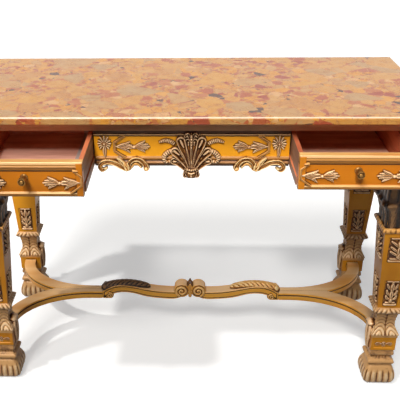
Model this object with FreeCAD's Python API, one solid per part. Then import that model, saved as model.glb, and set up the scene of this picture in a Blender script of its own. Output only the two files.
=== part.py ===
import FreeCAD, Part
import math
import os

# A pier table: a polished marble slab on a carved, gilded frame with two drawers, four square
# tapering legs and a curved stretcher. Millimetres, +X right, +Y to the back, +Z up, floor at 0.
# Everything is laid out about the middle of the table and moved to the part's origin at the end.

Vector = FreeCAD.Vector

# ---------------------------------------------------------------- driving dimensions
table_height = 850.0

marble_width = 1262.0
marble_depth = 580.0
marble_thick = 20.0
marble_round = 7.0            # rounding of the slab's upper edge
marble_ease = 2.5             # rounding of its lower edge

leg_inset_x = 67.0            # the legs' centre lines inside the slab's ends
leg_inset_y = 71.4            # and inside its long edges

# The leg's foot part, from the floor up: heights, then half widths of the square sections.
foot_height = 62.0
groove_height = 4.0
torus_height = 17.0
scotia_height = 27.0
fillet_height = 6.0
step_height = 3.6
block_height = 44.1
collar_height = 8.3
neck_height = 72.0
leaf_height = 22.0

foot_half = 40.0
foot_bulge_half = 44.0
foot_top_half = 37.0
groove_half = 34.0
torus_half = 38.5
scotia_half = 29.5
fillet_half = 38.5
block_half = 35.3
collar_half = 36.5
neck_foot_half = 35.0
neck_half = 27.0
neck_top_half = 33.0
leaf_half = 40.3
foot_corner_ease = 6.0        # flat across the foot's upright corners
console_proud = 11.0          # swell of the leaf on the block's inner side
console_half = 26.0
console_rise = 34.0           # its top above the block

# The tapering shaft and its sunk panels.
shaft_foot_half = 31.5
shaft_top_half = 45.0
panel_margin = 12.0           # plain wood left beside a sunk panel
panel_depth = 3.0
panel_foot_gap = 7.0          # plain wood under the lower panel and over the upper one
panel_top_gap = 12.0
lower_panel_height = 87.0
upper_panel_height = 80.0
block_panel_margin = 8.0
block_panel_depth = 1.6

# The capital, a carved sleeve round the leg's core, and the corner post above it.
capital_height = 179.0
core_half = 41.0
ring_height = 17.0
ring_half = 54.0
bell_foot_half = 48.0
bell_half = 65.5
bell_height = 86.0            # from the ring's foot to the widest line
abacus_half = 56.0
abacus_height = 8.0
abacus_neck_half = 49.0
post_height = 138.0
post_half = 40.0
post_inset = 18.7             # from the leg's centre line to the post's inner face

# The case.
case_offset = 14.4            # case faces outside the legs' centre lines
board = 22.0                  # rails, aprons and the frieze panel
apron_height = 136.0
rail_height = 36.0
divider_thick = 19.0
frieze_sink = 4.0             # carved field behind the mouldings' face
frieze_foot = 27.0            # height of the frieze's bottom moulding
frieze_bead = 5.0
frieze_bead_drop = 8.0        # from the rail's lower edge to the bead's top
runner_thick = 6.0
runner_width = 30.0
guide_height = 38.0
kicker_height = 24.0
stop_size = 12.0
stop_length = 22.0
glue_block = 30.0
glue_block_height = 42.0

# The drawers.
drawer_width = 283.2
drawer_back_room = 34.0       # between a shut drawer and the back apron
drawer_front_height = 95.7
drawer_front_thick = 22.0
drawer_top_gap = 2.7
drawer_side_thick = 11.0
drawer_side_drop = 1.3        # side edges below the front's top edge
drawer_back_drop = 6.3
drawer_lift = 4.4             # box bottom above the front's bottom edge
drawer_bottom_thick = 5.0
drawer_bottom_lift = 1.0      # bottom board above the sides' lower edges
drawer_groove = 4.0
ledge_proud = 3.2
ledge_height = 22.0
field_sink = 4.0              # the front's field behind its mouldings
front_foot_moulding = 13.0
front_head_moulding = 22.5
slide_gap = 0.3               # under the drawer
side_gap = 0.7                # each side of the drawer
fit_gap = 0.15                # joints within one body
left_opening = 192.2          # how far each drawer stands open at rest
right_opening = 146.5
drawer_travel = 292.0         # from shut to as far as it is drawn

knob_diameter = 20.0
knob_projection = 28.0
knob_height = 49.9            # above the front's lower edge
knob_stem_half = 4.5
knob_squares = 4              # four flats round the knob for each
screw_diameter = 4.0
screw_head_diameter = 8.0
screw_head_height = 2.4

# The stretcher.
stretcher_drop = 6.3          # its top below the blocks' top
stretcher_thick = 26.0
arm_width = 37.0
arm_inset = 2.0               # arm's foot inside the leg's centre line
arm_sweep_x = 242.0
crotch_extra = 5.0
trunk_half = 19.0
beam_half = 285.0             # from the table's middle to the arms' ends
foot_scroll_radius = 13.1
foot_scroll_set = 23.0        # scroll centre from the beam's end
beam_rise = 24.0              # crest of the beam above the arms' top
volute_radius = 24.0
volute_centre = 26.5
volute_lift = 18.6            # volute centre above the stretcher's mid height
beam_foot_thick = 27.0
collar_width = 17.0
leaf_thick = 11.0
leaf_foot_x = 133.0
leaf_head_x = 290.0
beam_leaf_half = 17.0
leaf_chamfer = 5.0
dowel_diameter = 10.0
dowel_length = 36.0

# Carved ornament on the frieze and the drawers.
shell_height = 127.0
shell_half = 56.0
shell_foot_half = 18.0
shell_foot_height = 15.0
shell_proud = 20.0
shell_dome_radius = 120.0
shell_drop = 4.0              # its top below the rail's lower edge
spray_horn_gap = 24.3          # from a frieze spray's tip to the upper horn's tip
spray_proud = 7.0
spray_set = 58.0              # from the panel's end to the spray's root
palmette_height = 62.0
palmette_half = 17.5
palmette_proud = 6.0
palmette_set = 27.5           # from the panel's end to the palmette's middle
palmette_leaves = 7
palmette_spread = 38.0        # degrees between its leaves
strap_width = 7.0
strap_thick = 5.0
strap_tip_set = 80.0          # from the panel's end to a strap's two tips
strap_bend_set = 52.5         # and to its upright part
strap_head_rise = 29.0        # its head and shoulder above the field's middle
strap_shoulder_rise = 13.0
strap_knee_drop = 13.5        # its knee and tail below the middle
strap_tail_drop = 32.0
bracket_proud = 13.0
bracket_drop = 15.0           # lowest scroll below the frieze
bracket_length = 138.0
bracket_inset = 8.0           # from the panel's end to the bracket's
bracket_rise = 5.0            # its highest swell above the bottom moulding
horn_beads = 5
horn_squares = 2              # four flats round a horn for each
horn_gap = 3.0                # from the shell's edge to a horn's root
upper_horn_length = 24.0
upper_horn_radius = 6.0
upper_horn_rise = 11.0        # its root above the field's middle
lower_horn_length = 21.0
lower_horn_radius = 9.0
lower_horn_drop = 13.0        # its root below the middle
shell_lobes = 9
shell_spread = 29.0           # degrees between lobes, seen from the shell's middle
drawer_spray_set = 7.0        # from a drawer front's end to its spray's root
drawer_spray_height = 38.0    # above the front's lower edge
drawer_spray_length = 89.0
corner_strap_width = 6.0
corner_strap_set = 3.6        # from the front's end to the middle of its upright part
corner_head_set = 20.0        # and to its head and tail
corner_tail_set = 29.0
corner_head_rise = 31.0       # above the spray's middle line
corner_shoulder_rise = 18.0
corner_knee_drop = 9.0        # below that line
corner_tail_drop = 26.5

# Curved outlines of repeated and carved pieces are made of short straight runs.
turning_runs = 4
carving_runs = 4
arm_runs = 12
beam_runs = 16
leaf_runs = 8

# ---------------------------------------------------------------- derived places
case_top = table_height - marble_thick
post_foot = case_top - post_height
capital_foot = post_foot - capital_height
apron_foot = case_top - apron_height
rail_foot = case_top - rail_height

foot_top = foot_height + groove_height
scotia_foot = foot_top + torus_height
fillet_foot = scotia_foot + scotia_height
block_foot = fillet_foot + fillet_height + step_height
block_top = block_foot + block_height
neck_foot = block_top + collar_height
leaf_foot = neck_foot + neck_height
shaft_foot = leaf_foot + leaf_height

leg_x = marble_width / 2 - leg_inset_x
leg_y = marble_depth / 2 - leg_inset_y
frieze_y = -(leg_y + case_offset)
case_back = leg_y + case_offset
case_side = leg_x + case_offset
post_inner = leg_x - post_inset

inside_front = frieze_y + board
inside_back = case_back - board
drawer_depth = inside_back - drawer_back_room - frieze_y
drawer_outer = post_inner - side_gap - ledge_proud
drawer_inner = drawer_outer - drawer_width
drawer_middle = (drawer_outer + drawer_inner) / 2
frieze_half = drawer_inner - ledge_proud - side_gap
drawer_top = rail_foot - drawer_top_gap
drawer_foot = drawer_top - drawer_front_height
box_foot = drawer_foot + drawer_lift
side_top = drawer_top - drawer_side_drop
floor_z = box_foot + drawer_bottom_lift + drawer_bottom_thick
runner_top = box_foot - slide_gap
knob_z = drawer_foot + knob_height
drawer_spray_z = drawer_foot + drawer_spray_height

stretcher_top = block_top - stretcher_drop
stretcher_foot = stretcher_top - stretcher_thick
stretcher_mid = (stretcher_top + stretcher_foot) / 2

knob_front = frieze_y - left_opening - knob_projection
origin_shift = -(knob_front + marble_depth / 2) / 2


# ---------------------------------------------------------------- helpers
def box(low, high):
    """A box between two opposite corners."""
    size = [b - a for a, b in zip(low, high)]
    return Part.makeBox(size[0], size[1], size[2], Vector(*low))


def outline(start, steps, runs):
    """A closed face: each step is an end point, (middle, end) of an arc, or more points of a curve.

    Each arc and curve is divided into this many straight runs.
    """
    edges = []
    here = start
    for step in steps:
        points = [Vector(*point) for point in (here,) + tuple(step)]
        if len(points) == 3:
            points = Part.Arc(*points).toShape().discretize(runs + 1)
        elif len(points) > 3:
            curve = Part.BSplineCurve()
            curve.interpolate(points)
            points = curve.toShape().discretize(runs + 1)
        edges += [Part.makeLine(low, high) for low, high in zip(points, points[1:])]
        here = step[-1]
    if (Vector(*here) - Vector(*start)).Length > 1e-6:
        edges.append(Part.makeLine(Vector(*here), Vector(*start)))
    return Part.Face(Part.Wire(edges))


def in_xz(points, y=0.0):
    """Points given as (x, z) on the plane at y."""
    return [(x, y, z) for x, z in points]


def plate_xz(start, steps, y_low, y_high, runs=carving_runs):
    """A plate whose outline lies in X and Z, between two depths."""
    lifted = [in_xz(step, y_low) for step in steps]
    face = outline(in_xz([start], y_low)[0], lifted, runs)
    return face.extrude(Vector(0, y_high - y_low, 0))


def plate_xy(start, steps, z_low, z_high, runs=arm_runs):
    """A plate whose outline lies in X and Y, between two heights."""
    lifted = [[(x, y, z_low) for x, y in step] for step in steps]
    face = outline((start[0], start[1], z_low), lifted, runs)
    return face.extrude(Vector(0, 0, z_high - z_low))


def bar_yz(points, x_low, x_high):
    """A straight moulding whose section lies in Y and Z."""
    section = Part.makePolygon([Vector(x_low, y, z) for y, z in points + points[:1]])
    return Part.Face(section).extrude(Vector(x_high - x_low, 0, 0))


def square_turning(start, steps):
    """A square section piece on the Z axis from half its outline, steps as (half width, height)."""
    top = steps[-1][-1][1]
    half = plate_xz((0.0, start[1]), [[start]] + steps + [[(0.0, top)]], -100.0, 100.0, turning_runs)
    whole = with_mirror(half, 0.0)
    turned = whole.copy()
    turned.rotate(Vector(0, 0, 0), Vector(0, 0, 1), 90)
    return whole.common(turned)


def turning(start, steps, squares):
    """A piece turned on the Z axis from half its outline, with four flats for each of its squares."""
    first = square_turning(start, steps)
    whole = first
    for number in range(1, squares):
        turned = first.copy()
        turned.rotate(Vector(0, 0, 0), Vector(0, 0, 1), 90 * number / squares)
        whole = whole.common(turned)
    return whole


def in_quarter(shape, side, end):
    """A copy of a right front piece for another corner: side and end are 1 or -1."""
    if side < 0:
        shape = shape.mirror(Vector(0, 0, 0), Vector(1, 0, 0))
    if end < 0:
        shape = shape.mirror(Vector(0, 0, 0), Vector(0, 1, 0))
    return shape


def moved(shape, x, y, z):
    """A copy of a shape moved by x, y and z."""
    copy = shape.copy()
    copy.translate(Vector(x, y, z))
    return copy


def four_faces(tool):
    """A tool for the -Y face, repeated on all four faces of a piece on the Z axis."""
    tools = []
    for quarter in range(4):
        turned = tool.copy()
        turned.rotate(Vector(0, 0, 0), Vector(0, 0, 1), 90 * quarter)
        tools.append(turned)
    return tools


def with_mirror(shape, x):
    """A shape joined to its mirror image about the upright plane at x."""
    return shape.fuse(shape.mirror(Vector(x, 0, 0), Vector(1, 0, 0))).removeSplitter()


def fan(x, foot, half_width, height, lobes, spread, foot_half, y_back, thick):
    """A scalloped fan: round lobes whose tips lie on an oval, narrowing to a straight foot."""
    middle = foot + height / 2
    inner = 0.84

    def on_oval(turn, share):
        angle = math.radians(turn)
        return (x + share * half_width * math.sin(angle), middle + share * height / 2 * math.cos(angle))

    first = -spread * (lobes - 1) / 2
    start = on_oval(first - spread / 2, inner)
    steps = []
    for number in range(lobes):
        turn = first + number * spread
        steps.append([on_oval(turn, 1.0), on_oval(turn + spread / 2, inner)])
    steps.append([(x + foot_half, foot)])
    steps.append([(x - foot_half, foot)])
    return plate_xz(start, steps, y_back - thick, y_back)


def groove(start, end, y_face, width, depth):
    """The tool for a V groove in a face that looks to -Y."""
    run = Vector(end[0] - start[0], 0, end[1] - start[1])
    across = Vector(-run.z, 0, run.x) * (width / run.Length)
    corner = Vector(start[0], y_face, start[1])
    lip = Vector(0, -1.0, 0)
    bottom = Vector(0, depth, 0)
    ends = [corner - across + lip, corner + across + lip, corner + bottom]
    face = Part.Face(Part.makePolygon(ends + ends[:1]))
    return face.extrude(run)


nodes = {}


def add(name, *shapes):
    """Keep one node's solids."""
    solids = []
    for shape in shapes:
        solids += shape.Solids
    nodes[name] = solids


# ---------------------------------------------------------------- marble slab
def marble_top():
    slab = box(
        (-marble_width / 2, -marble_depth / 2, case_top),
        (marble_width / 2, marble_depth / 2, table_height),
    )
    upper = [edge for edge in slab.Edges if edge.BoundBox.ZMin > table_height - 0.1]
    slab = slab.makeFillet(marble_round, upper)
    lower = [edge for edge in slab.Edges if edge.BoundBox.ZMax < case_top + 0.1]
    return slab.makeFillet(marble_ease, lower)


# ---------------------------------------------------------------- legs
def leg_base():
    """Foot, torus, scotia, block, leaf-carved neck and leaf roll, as one square turning."""
    torus_mid = foot_top + torus_height / 2
    scotia_mid = scotia_foot + scotia_height / 2
    neck_low = neck_foot + neck_height * 0.16
    neck_mid = neck_foot + neck_height * 0.54
    leaf_mid = leaf_foot + leaf_height / 2
    steps = [
        [(foot_bulge_half, foot_height * 0.4), (foot_top_half, foot_height)],
        [(groove_half, foot_height)],
        [(groove_half, foot_top)],
        [(torus_half, torus_mid), (groove_half, scotia_foot)],
        [(scotia_half, scotia_mid), (groove_half, fillet_foot)],
        [(fillet_half, fillet_foot)],
        [(fillet_half, fillet_foot + fillet_height)],
        [(block_half, block_foot)],
        [(block_half, block_top)],
        [(collar_half, block_top)],
        [(collar_half, neck_foot)],
        [(neck_foot_half, neck_foot)],
        [
            (neck_foot_half - 1.5, neck_low),
            (neck_half, neck_mid),
            (neck_top_half, leaf_foot),
        ],
        [(leaf_half, leaf_mid), (shaft_foot_half, shaft_foot)],
    ]
    base = square_turning((foot_half, 0.0), steps)
    rounded = box((-60, -60, 0), (60, 60, foot_height))
    corners = Part.makeBox(2 * foot_bulge_half, 2 * foot_bulge_half, foot_height,
                           Vector(-foot_bulge_half, -foot_bulge_half, 0))
    upright = [edge for edge in corners.Edges if edge.BoundBox.ZLength > foot_height / 2]
    corners = corners.makeChamfer(foot_corner_ease, upright)
    base = base.cut(rounded.cut(corners))
    panel = box(
        (-block_half + block_panel_margin, -block_half - 1, block_foot + block_panel_margin),
        (block_half - block_panel_margin, -block_half + block_panel_depth, block_top - block_panel_margin),
    )
    outer_faces = four_faces(panel)
    base = base.cut([outer_faces[0], outer_faces[1]])
    console = plate_xz((-neck_half, block_top + console_rise),
                       [[(-block_half - console_proud, stretcher_top), (-neck_half, fillet_foot)]],
                       -console_half, console_half)
    return base.fuse(console)


def sunk_panel(foot, height):
    """The four window shaped cuts of one row of panels down to the sunk ground."""
    def window_half(z):
        share = (z - shaft_foot) / (capital_foot - shaft_foot)
        return shaft_foot_half + share * (shaft_top_half - shaft_foot_half) - panel_margin
    top = foot + height
    corners = [(window_half(foot), foot), (window_half(top), top), (-window_half(top), top),
               (-window_half(foot), foot)]
    window = plate_xz(corners[0], [[corner] for corner in corners[1:]], -70.0, -10.0)
    return four_faces(window)


def leg_shaft():
    """Tapering shaft with two sunk panels a side, the core inside the capital, and the post."""
    frustum = square_turning((shaft_foot_half, shaft_foot), [[(shaft_top_half, capital_foot)]])
    ground = square_turning(
        (shaft_foot_half - panel_depth, shaft_foot), [[(shaft_top_half - panel_depth, capital_foot)]]
    )
    upper_foot = capital_foot - panel_top_gap - upper_panel_height
    windows = sunk_panel(shaft_foot + panel_foot_gap, lower_panel_height)
    windows += sunk_panel(upper_foot, upper_panel_height)
    shaft = frustum.cut(windows).fuse(ground)
    core = box((-core_half, -core_half, capital_foot), (core_half, core_half, post_foot))
    post = box((-post_inset, -post_half, post_foot), (post_half, post_half, case_top))
    return shaft.fuse([core, post]).removeSplitter()


def leg_capital():
    """Ring, leaf bell and abacus, a sleeve that sits on the shaft's shoulder."""
    ring_top = capital_foot + ring_height
    bell_top = capital_foot + bell_height
    abacus_foot = post_foot - abacus_height
    neck_z = bell_top + (abacus_foot - bell_top) * 0.45
    steps = [
        [(ring_half, capital_foot + ring_height / 2), (bell_foot_half, ring_top)],
        [
            (bell_foot_half + 1.0, ring_top + (bell_top - ring_top) * 0.45),
            (bell_foot_half + 7.0, ring_top + (bell_top - ring_top) * 0.78),
            (bell_half, bell_top),
        ],
        [(bell_half - 0.5, bell_top + 8.0), (bell_half - 6.0, bell_top + 15.0)],
        [(abacus_neck_half + 3.0, (bell_top + 15.0 + neck_z) / 2), (abacus_neck_half, neck_z)],
        [(abacus_neck_half, abacus_foot - 14.0)],
        [(abacus_half - 2.0, abacus_foot - 6.0), (abacus_half, abacus_foot)],
        [(abacus_half, post_foot)],
    ]
    sleeve = square_turning((bell_foot_half, capital_foot), steps)
    hollow = box((-core_half, -core_half, capital_foot - 1), (core_half, core_half, post_foot + 1))
    return sleeve.cut(hollow)


def add_legs():
    base = moved(leg_base(), leg_x, -leg_y, 0)
    socket = arm_dowel(dowel_diameter / 2 + fit_gap)
    base = base.cut(socket)
    shaft = moved(leg_shaft(), leg_x, -leg_y, 0)
    capital = moved(leg_capital(), leg_x, -leg_y, 0)
    for end_name, end in (("front", 1), ("back", -1)):
        for side_name, side in (("left", -1), ("right", 1)):
            place = end_name + "_" + side_name
            add("leg_base_" + place, in_quarter(base, side, end))
            add("leg_shaft_" + place, in_quarter(shaft, side, end))
            add("leg_capital_" + place, in_quarter(capital, side, end))


# ---------------------------------------------------------------- case
def moulded_board(low_z, high_z, face_y, x_half):
    """A board with a sunk field between a bottom moulding and a thin top bead, facing -Y."""
    bead_top = high_z - frieze_bead_drop
    bead_foot = bead_top - frieze_bead
    field_foot = low_z + frieze_foot
    field_y = face_y + frieze_sink
    section = [
        (face_y + board, low_z),
        (face_y + 5.0, low_z),
        (face_y + 1.5, low_z + 5.0),
        (face_y, low_z + 8.5),
        (face_y, low_z + 10.5),
        (face_y + 3.5, low_z + 15.5),
        (face_y + 3.5, low_z + 17.0),
        (face_y + 0.5, field_foot - 7.0),
        (face_y + 0.5, field_foot - 3.5),
        (field_y, field_foot + 1.5),
        (field_y, bead_foot),
        (face_y + 0.5, bead_foot + 1.0),
        (face_y + 0.5, bead_top - 1.0),
        (field_y, bead_top),
        (field_y, high_z),
        (face_y + board, high_z),
    ]
    return bar_yz(section, -x_half, x_half)


def add_case():
    back = case_back
    rail = box((-post_inner, frieze_y, rail_foot), (post_inner, frieze_y + board, case_top))
    add("front_top_rail", rail)
    panel = moulded_board(apron_foot, rail_foot, frieze_y, frieze_half)
    add("frieze_panel", panel)
    back_rail = moulded_board(apron_foot, case_top, -back, post_inner)
    add("back_apron", back_rail.mirror(Vector(0, 0, 0), Vector(0, 1, 0)))

    apron = moulded_board(apron_foot, case_top, -case_side, leg_y - post_half)
    for name, angle in (("left_apron", -90), ("right_apron", 90)):
        turned = apron.copy()
        turned.rotate(Vector(0, 0, 0), Vector(0, 0, 1), angle)
        add(name, turned)

    stop_y = frieze_y + drawer_depth + slide_gap
    for name, side in (("left", -1), ("right", 1)):
        divider = box((frieze_half - divider_thick, inside_front, apron_foot),
                      (frieze_half, inside_back, case_top))
        add(name + "_divider", in_quarter(divider, side, 1))

        inner_runner = box((frieze_half, inside_front + 6, runner_top - runner_thick),
                           (frieze_half + runner_width, inside_back, runner_top))
        outer_runner = box((post_inner - runner_width, inside_front + 6, runner_top - runner_thick),
                           (post_inner, inside_back, runner_top))
        guide = box((post_inner, -leg_y + post_half, runner_top - runner_thick),
                    (case_side - board, leg_y - post_half, runner_top + guide_height))
        outer_runner = outer_runner.fuse(guide).removeSplitter()
        add(name + "_runners", in_quarter(inner_runner, side, 1), in_quarter(outer_runner, side, 1))

        stops = []
        for x in (drawer_inner + 2.0, drawer_outer - stop_length - 2.0):
            stops.append(box((x, stop_y, runner_top), (x + stop_length, stop_y + stop_size,
                                                       runner_top + stop_size)))
        add(name + "_drawer_stops", *[in_quarter(stop, side, 1) for stop in stops])

        kickers = []
        for x in (frieze_half, post_inner - runner_width):
            kickers.append(box((x, inside_front, drawer_top + 0.5),
                               (x + runner_width, inside_back, drawer_top + 0.5 + kicker_height)))
        add(name + "_kickers", *[in_quarter(kicker, side, 1) for kicker in kickers])

    glue_blocks = []
    for x in (frieze_half - divider_thick,):
        for y, depth in ((inside_front, 1), (inside_back, -1)):
            wedge = plate_xy((x, y), [[(x - glue_block, y)], [(x, y + depth * glue_block)]],
                             case_top - glue_block_height, case_top)
            glue_blocks += [in_quarter(wedge, 1, 1), in_quarter(wedge, -1, 1)]
    add("glue_blocks", *glue_blocks)
    return panel


# ---------------------------------------------------------------- frieze carving
def shell(y_back):
    """A domed shell of nine fluted lobes on a scrolled foot, proud of the frieze."""
    top = rail_foot - shell_drop
    foot = top - shell_height
    body = fan(0.0, foot, shell_half, shell_height, shell_lobes, shell_spread, shell_foot_half,
               y_back, shell_proud)
    dome = Part.makeCylinder(shell_dome_radius, shell_height + 20.0,
                             Vector(0, y_back - shell_proud + shell_dome_radius, foot - 10.0))
    body = body.common(dome)
    cuts = []
    middle = (foot + top) / 2
    for number in range(shell_lobes - 1):
        turn = math.radians((number - shell_lobes / 2 + 1) * shell_spread)
        valley = (shell_half * math.sin(turn), middle + shell_height / 2 * math.cos(turn))
        root = (shell_foot_half * 0.3 * math.sin(turn), foot + shell_foot_height)
        cuts.append(groove(root, valley, y_back - shell_proud, 3.2, 9.0))
    body = body.cut(cuts)
    scroll = Part.makeCylinder(shell_foot_height / 2, 2 * shell_foot_half,
                               Vector(-shell_foot_half, y_back - shell_foot_height / 2,
                                      foot + shell_foot_height / 2), Vector(1, 0, 0))
    return body.fuse(scroll)


def palmette(x, z, y_back):
    """An upright palmette of leaves over two hanging leaves and a pointed bud."""
    fan_foot = z - palmette_height * 0.1
    leaves = fan(x, fan_foot, palmette_half, palmette_height * 0.6, palmette_leaves, palmette_spread, 4.0,
                 y_back, palmette_proud)
    bud_foot = z - palmette_height / 2
    flank = [(x + 6.5, bud_foot + 8.0), (x + 3.5, bud_foot + 13.0)]
    hanging_leaf = [(x + 11.5, bud_foot + 11.0), (x + 13.5, bud_foot + 19.0)]
    bud = plate_xz((x, bud_foot), [flank, hanging_leaf, [(x + 3.0, fan_foot + 4.0)], [(x, fan_foot + 4.0)]],
                   y_back - palmette_proud, y_back)
    return leaves.fuse(with_mirror(bud, x)).removeSplitter()


def spray(x_start, x_end, z, y_back):
    """Two leafy fleurons end to end, from a broad root to a pointed tip."""
    way = 1 if x_end > x_start else -1
    length = abs(x_end - x_start)
    # Each scallop: where it ends along the spray, its top and the height of the cleft after it.
    scallops = [(0.2, 7.0, 5.0), (0.54, 15.0, 3.0), (0.68, 6.0, 3.6), (0.94, 14.0, 3.0), (1.0, 2.4, 0.0)]

    def place(share, rise):
        return (x_start + way * length * share, z + rise)

    start = place(0.0, 2.4)
    upper = []
    lower = []
    here = 0.0
    for share, top, cleft in scallops:
        middle = here + (share - here) * 0.6
        upper.append([place(middle, top), place(share, cleft)])
        here = share
    for number in range(len(scallops) - 1, -1, -1):
        share, top, cleft = scallops[number]
        before, cleft_before = (scallops[number - 1][0], scallops[number - 1][2]) if number else (0.0, 2.4)
        middle = before + (share - before) * 0.6
        lower.append([place(middle, -top), place(before, -cleft_before)])
    return plate_xz(start, upper + lower + [[start]], y_back - spray_proud, y_back)


def bracket(y_back):
    """The cusped C scrolls that hang below one end of the frieze, as one pierced plate."""
    foot = apron_foot - bracket_drop
    top = apron_foot + frieze_foot + bracket_rise

    def at(share, z):
        return (frieze_half - bracket_inset - share * bracket_length, z)

    ridge = [
        at(0.0, foot + 22.0), at(0.12, top - 6.0), at(0.28, top - 1.0), at(0.45, top - 7.0),
        at(0.71, top), at(0.87, top - 8.0), at(1.0, foot + 14.0),
    ]
    start = at(0.0, foot + 14.0)
    steps = [
        ridge,
        [at(0.916, foot), at(0.82, foot + 10.0)],
        [at(0.74, foot + 17.5), at(0.645, foot + 9.0)],
        [at(0.572, foot + 2.0), at(0.377, foot + 13.0)],
        [at(0.28, foot + 19.0), at(0.217, foot + 11.0)],
        [at(0.106, foot), start],
    ]
    return plate_xz(start, steps, y_back - bracket_proud, y_back, 2 * carving_runs)


def strap(points, y_back, width):
    """A flat carved strap along straight lines, with mitred bends."""
    runs = [Vector(x1 - x0, 0, z1 - z0).normalize() for (x0, z0), (x1, z1) in zip(points, points[1:])]
    upper = []
    lower = []
    for (x, z), before, after in zip(points, runs[:1] + runs, runs + runs[-1:]):
        across = Vector(-before.z - after.z, 0, before.x + after.x)
        across = across * (width / across.Length ** 2)
        upper.append(Vector(x, y_back, z) + across)
        lower.insert(0, Vector(x, y_back, z) - across)
    face = Part.Face(Part.makePolygon(upper + lower + upper[:1]))
    return face.extrude(Vector(0, -strap_thick, 0))


def horn(root, rise, length, y_back, radius):
    """A gadrooned horn, half a tapering row of beads, from the shell outwards and up by rise degrees."""
    pitch = length / horn_beads
    steps = []
    for number in range(horn_beads):
        swell = radius * (1 - 0.5 * number / horn_beads)
        steps.append([(swell, (number + 0.5) * pitch)])
        steps.append([(swell * 0.72, (number + 1) * pitch)])
    beads = turning((radius * 0.75, 0.0), steps, horn_squares)
    beads.rotate(Vector(0, 0, 0), Vector(0, 1, 0), 90 - rise)
    beads.translate(Vector(root[0], y_back, root[1]))
    front = box((-case_side, y_back - 2 * radius, 0), (case_side, y_back, table_height))
    return beads.common(front)


def seated(piece, neighbours):
    """A carving cut to lie against what is behind and beside it."""
    return max(piece.cut(neighbours).Solids, key=lambda solid: solid.Volume)


def add_frieze_carving(panel):
    field = frieze_y + frieze_sink
    centre_shell = seated(shell(field), [panel])
    add("shell_carving", centre_shell)
    half = frieze_half
    field_mid = (apron_foot + frieze_foot + rail_foot - frieze_bead_drop - frieze_bead) / 2
    strap_line = [
        (half - strap_tip_set, field_mid + strap_head_rise),
        (half - strap_bend_set, field_mid + strap_shoulder_rise),
        (half - strap_bend_set, field_mid - strap_knee_drop),
        (half - strap_tip_set, field_mid - strap_tail_drop),
    ]
    scrolls = seated(bracket(field), [panel])
    leaves = palmette(half - palmette_set, field_mid + 2.0, field)
    horn_root = shell_half + horn_gap
    spray_root = half - spray_set
    spray_tip = horn_root + upper_horn_length + spray_horn_gap
    upper_horn = horn((horn_root, field_mid + upper_horn_rise), 5.0, upper_horn_length, field,
                      upper_horn_radius)
    lower_horn = horn((horn_root, field_mid - lower_horn_drop), -45.0, lower_horn_length, field,
                      lower_horn_radius)
    right = {
        "frieze_brackets": [scrolls],
        "frieze_palmettes": [seated(leaves, [panel, scrolls])],
        "frieze_sprays": [spray(spray_root, spray_tip, field_mid + 1.0, field)],
        "frieze_straps": [seated(strap(strap_line, field, strap_width), [panel, scrolls])],
        "frieze_horns": [upper_horn, lower_horn],
    }
    right["frieze_horns"] = [seated(piece, [panel, centre_shell]) for piece in right["frieze_horns"]]
    for name, pieces in right.items():
        both = [in_quarter(piece, side, 1) for piece in pieces for side in (1, -1)]
        add(name, *both)


# ---------------------------------------------------------------- drawers
def drawer_front(hole_radius):
    """The moulded front: a bottom bead, a sunk field and a stack of head mouldings."""
    y = frieze_y
    foot = drawer_foot
    top = drawer_top
    field_y = y + field_sink
    field_foot = foot + front_foot_moulding
    field_top = top - front_head_moulding
    section = [
        (y + drawer_front_thick, foot),
        (y + 3.0, foot),
        (y, foot + 3.5),
        (y, foot + 9.0),
        (field_y, field_foot),
        (field_y, field_top),
        (y + 2.5, field_top + 1.5),
        (y + 2.5, field_top + 5.5),
        (y, top - 13.0),
        (y, top - 11.5),
        (y + 1.5, top - 9.0),
        (y + 1.5, top - 1.5),
        (y + 2.5, top),
        (y + drawer_front_thick, top),
    ]
    front = bar_yz(section, drawer_inner, drawer_outer)
    bore = Part.makeCylinder(hole_radius, drawer_front_thick + 2, Vector(drawer_middle, y - 1, knob_z),
                             Vector(0, 1, 0))
    return front.cut(bore)


def drawer_side(x_outer, inward):
    """One side board with its ledge strip and the groove for the bottom."""
    front_y = frieze_y + drawer_front_thick
    back_y = frieze_y + drawer_depth
    x_in = x_outer + inward * drawer_side_thick
    x_proud = x_outer - inward * ledge_proud
    board_solid = box((min(x_outer, x_in), front_y, box_foot), (max(x_outer, x_in), back_y, side_top))
    ledge = box((min(x_outer, x_proud), front_y, box_foot),
                (max(x_outer, x_proud), back_y, box_foot + ledge_height))
    groove_x = x_in - inward * drawer_groove
    groove = box((min(x_in, groove_x) - 0.01, front_y - 1, box_foot + drawer_bottom_lift),
                 (max(x_in, groove_x) + 0.01, back_y + 1, floor_z))
    return board_solid.fuse(ledge).cut(groove).removeSplitter()


def knob():
    """A turned knob on a short stem and a small back plate."""
    radius = knob_diameter / 2
    face = frieze_y + field_sink
    front = frieze_y - knob_projection
    reach = face - front
    # Each step is a half width and how far it stands in front of the field.
    steps = [
        [(radius * 0.8, 2.0)],
        [(knob_stem_half, 4.5)],
        [(knob_stem_half, reach - 17.0)],
        [(radius * 0.8, reach - 14.0)],
        [(radius, reach - 9.0)],
        [(radius * 0.93, reach - 4.0)],
        [(radius * 0.6, reach - 1.0)],
        [(radius * 0.4, reach)],
    ]
    solid = turning((radius * 0.8, 0.0), steps, knob_squares)
    solid.rotate(Vector(0, 0, 0), Vector(1, 0, 0), 90)
    return moved(solid, drawer_middle, face, knob_z)


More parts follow.
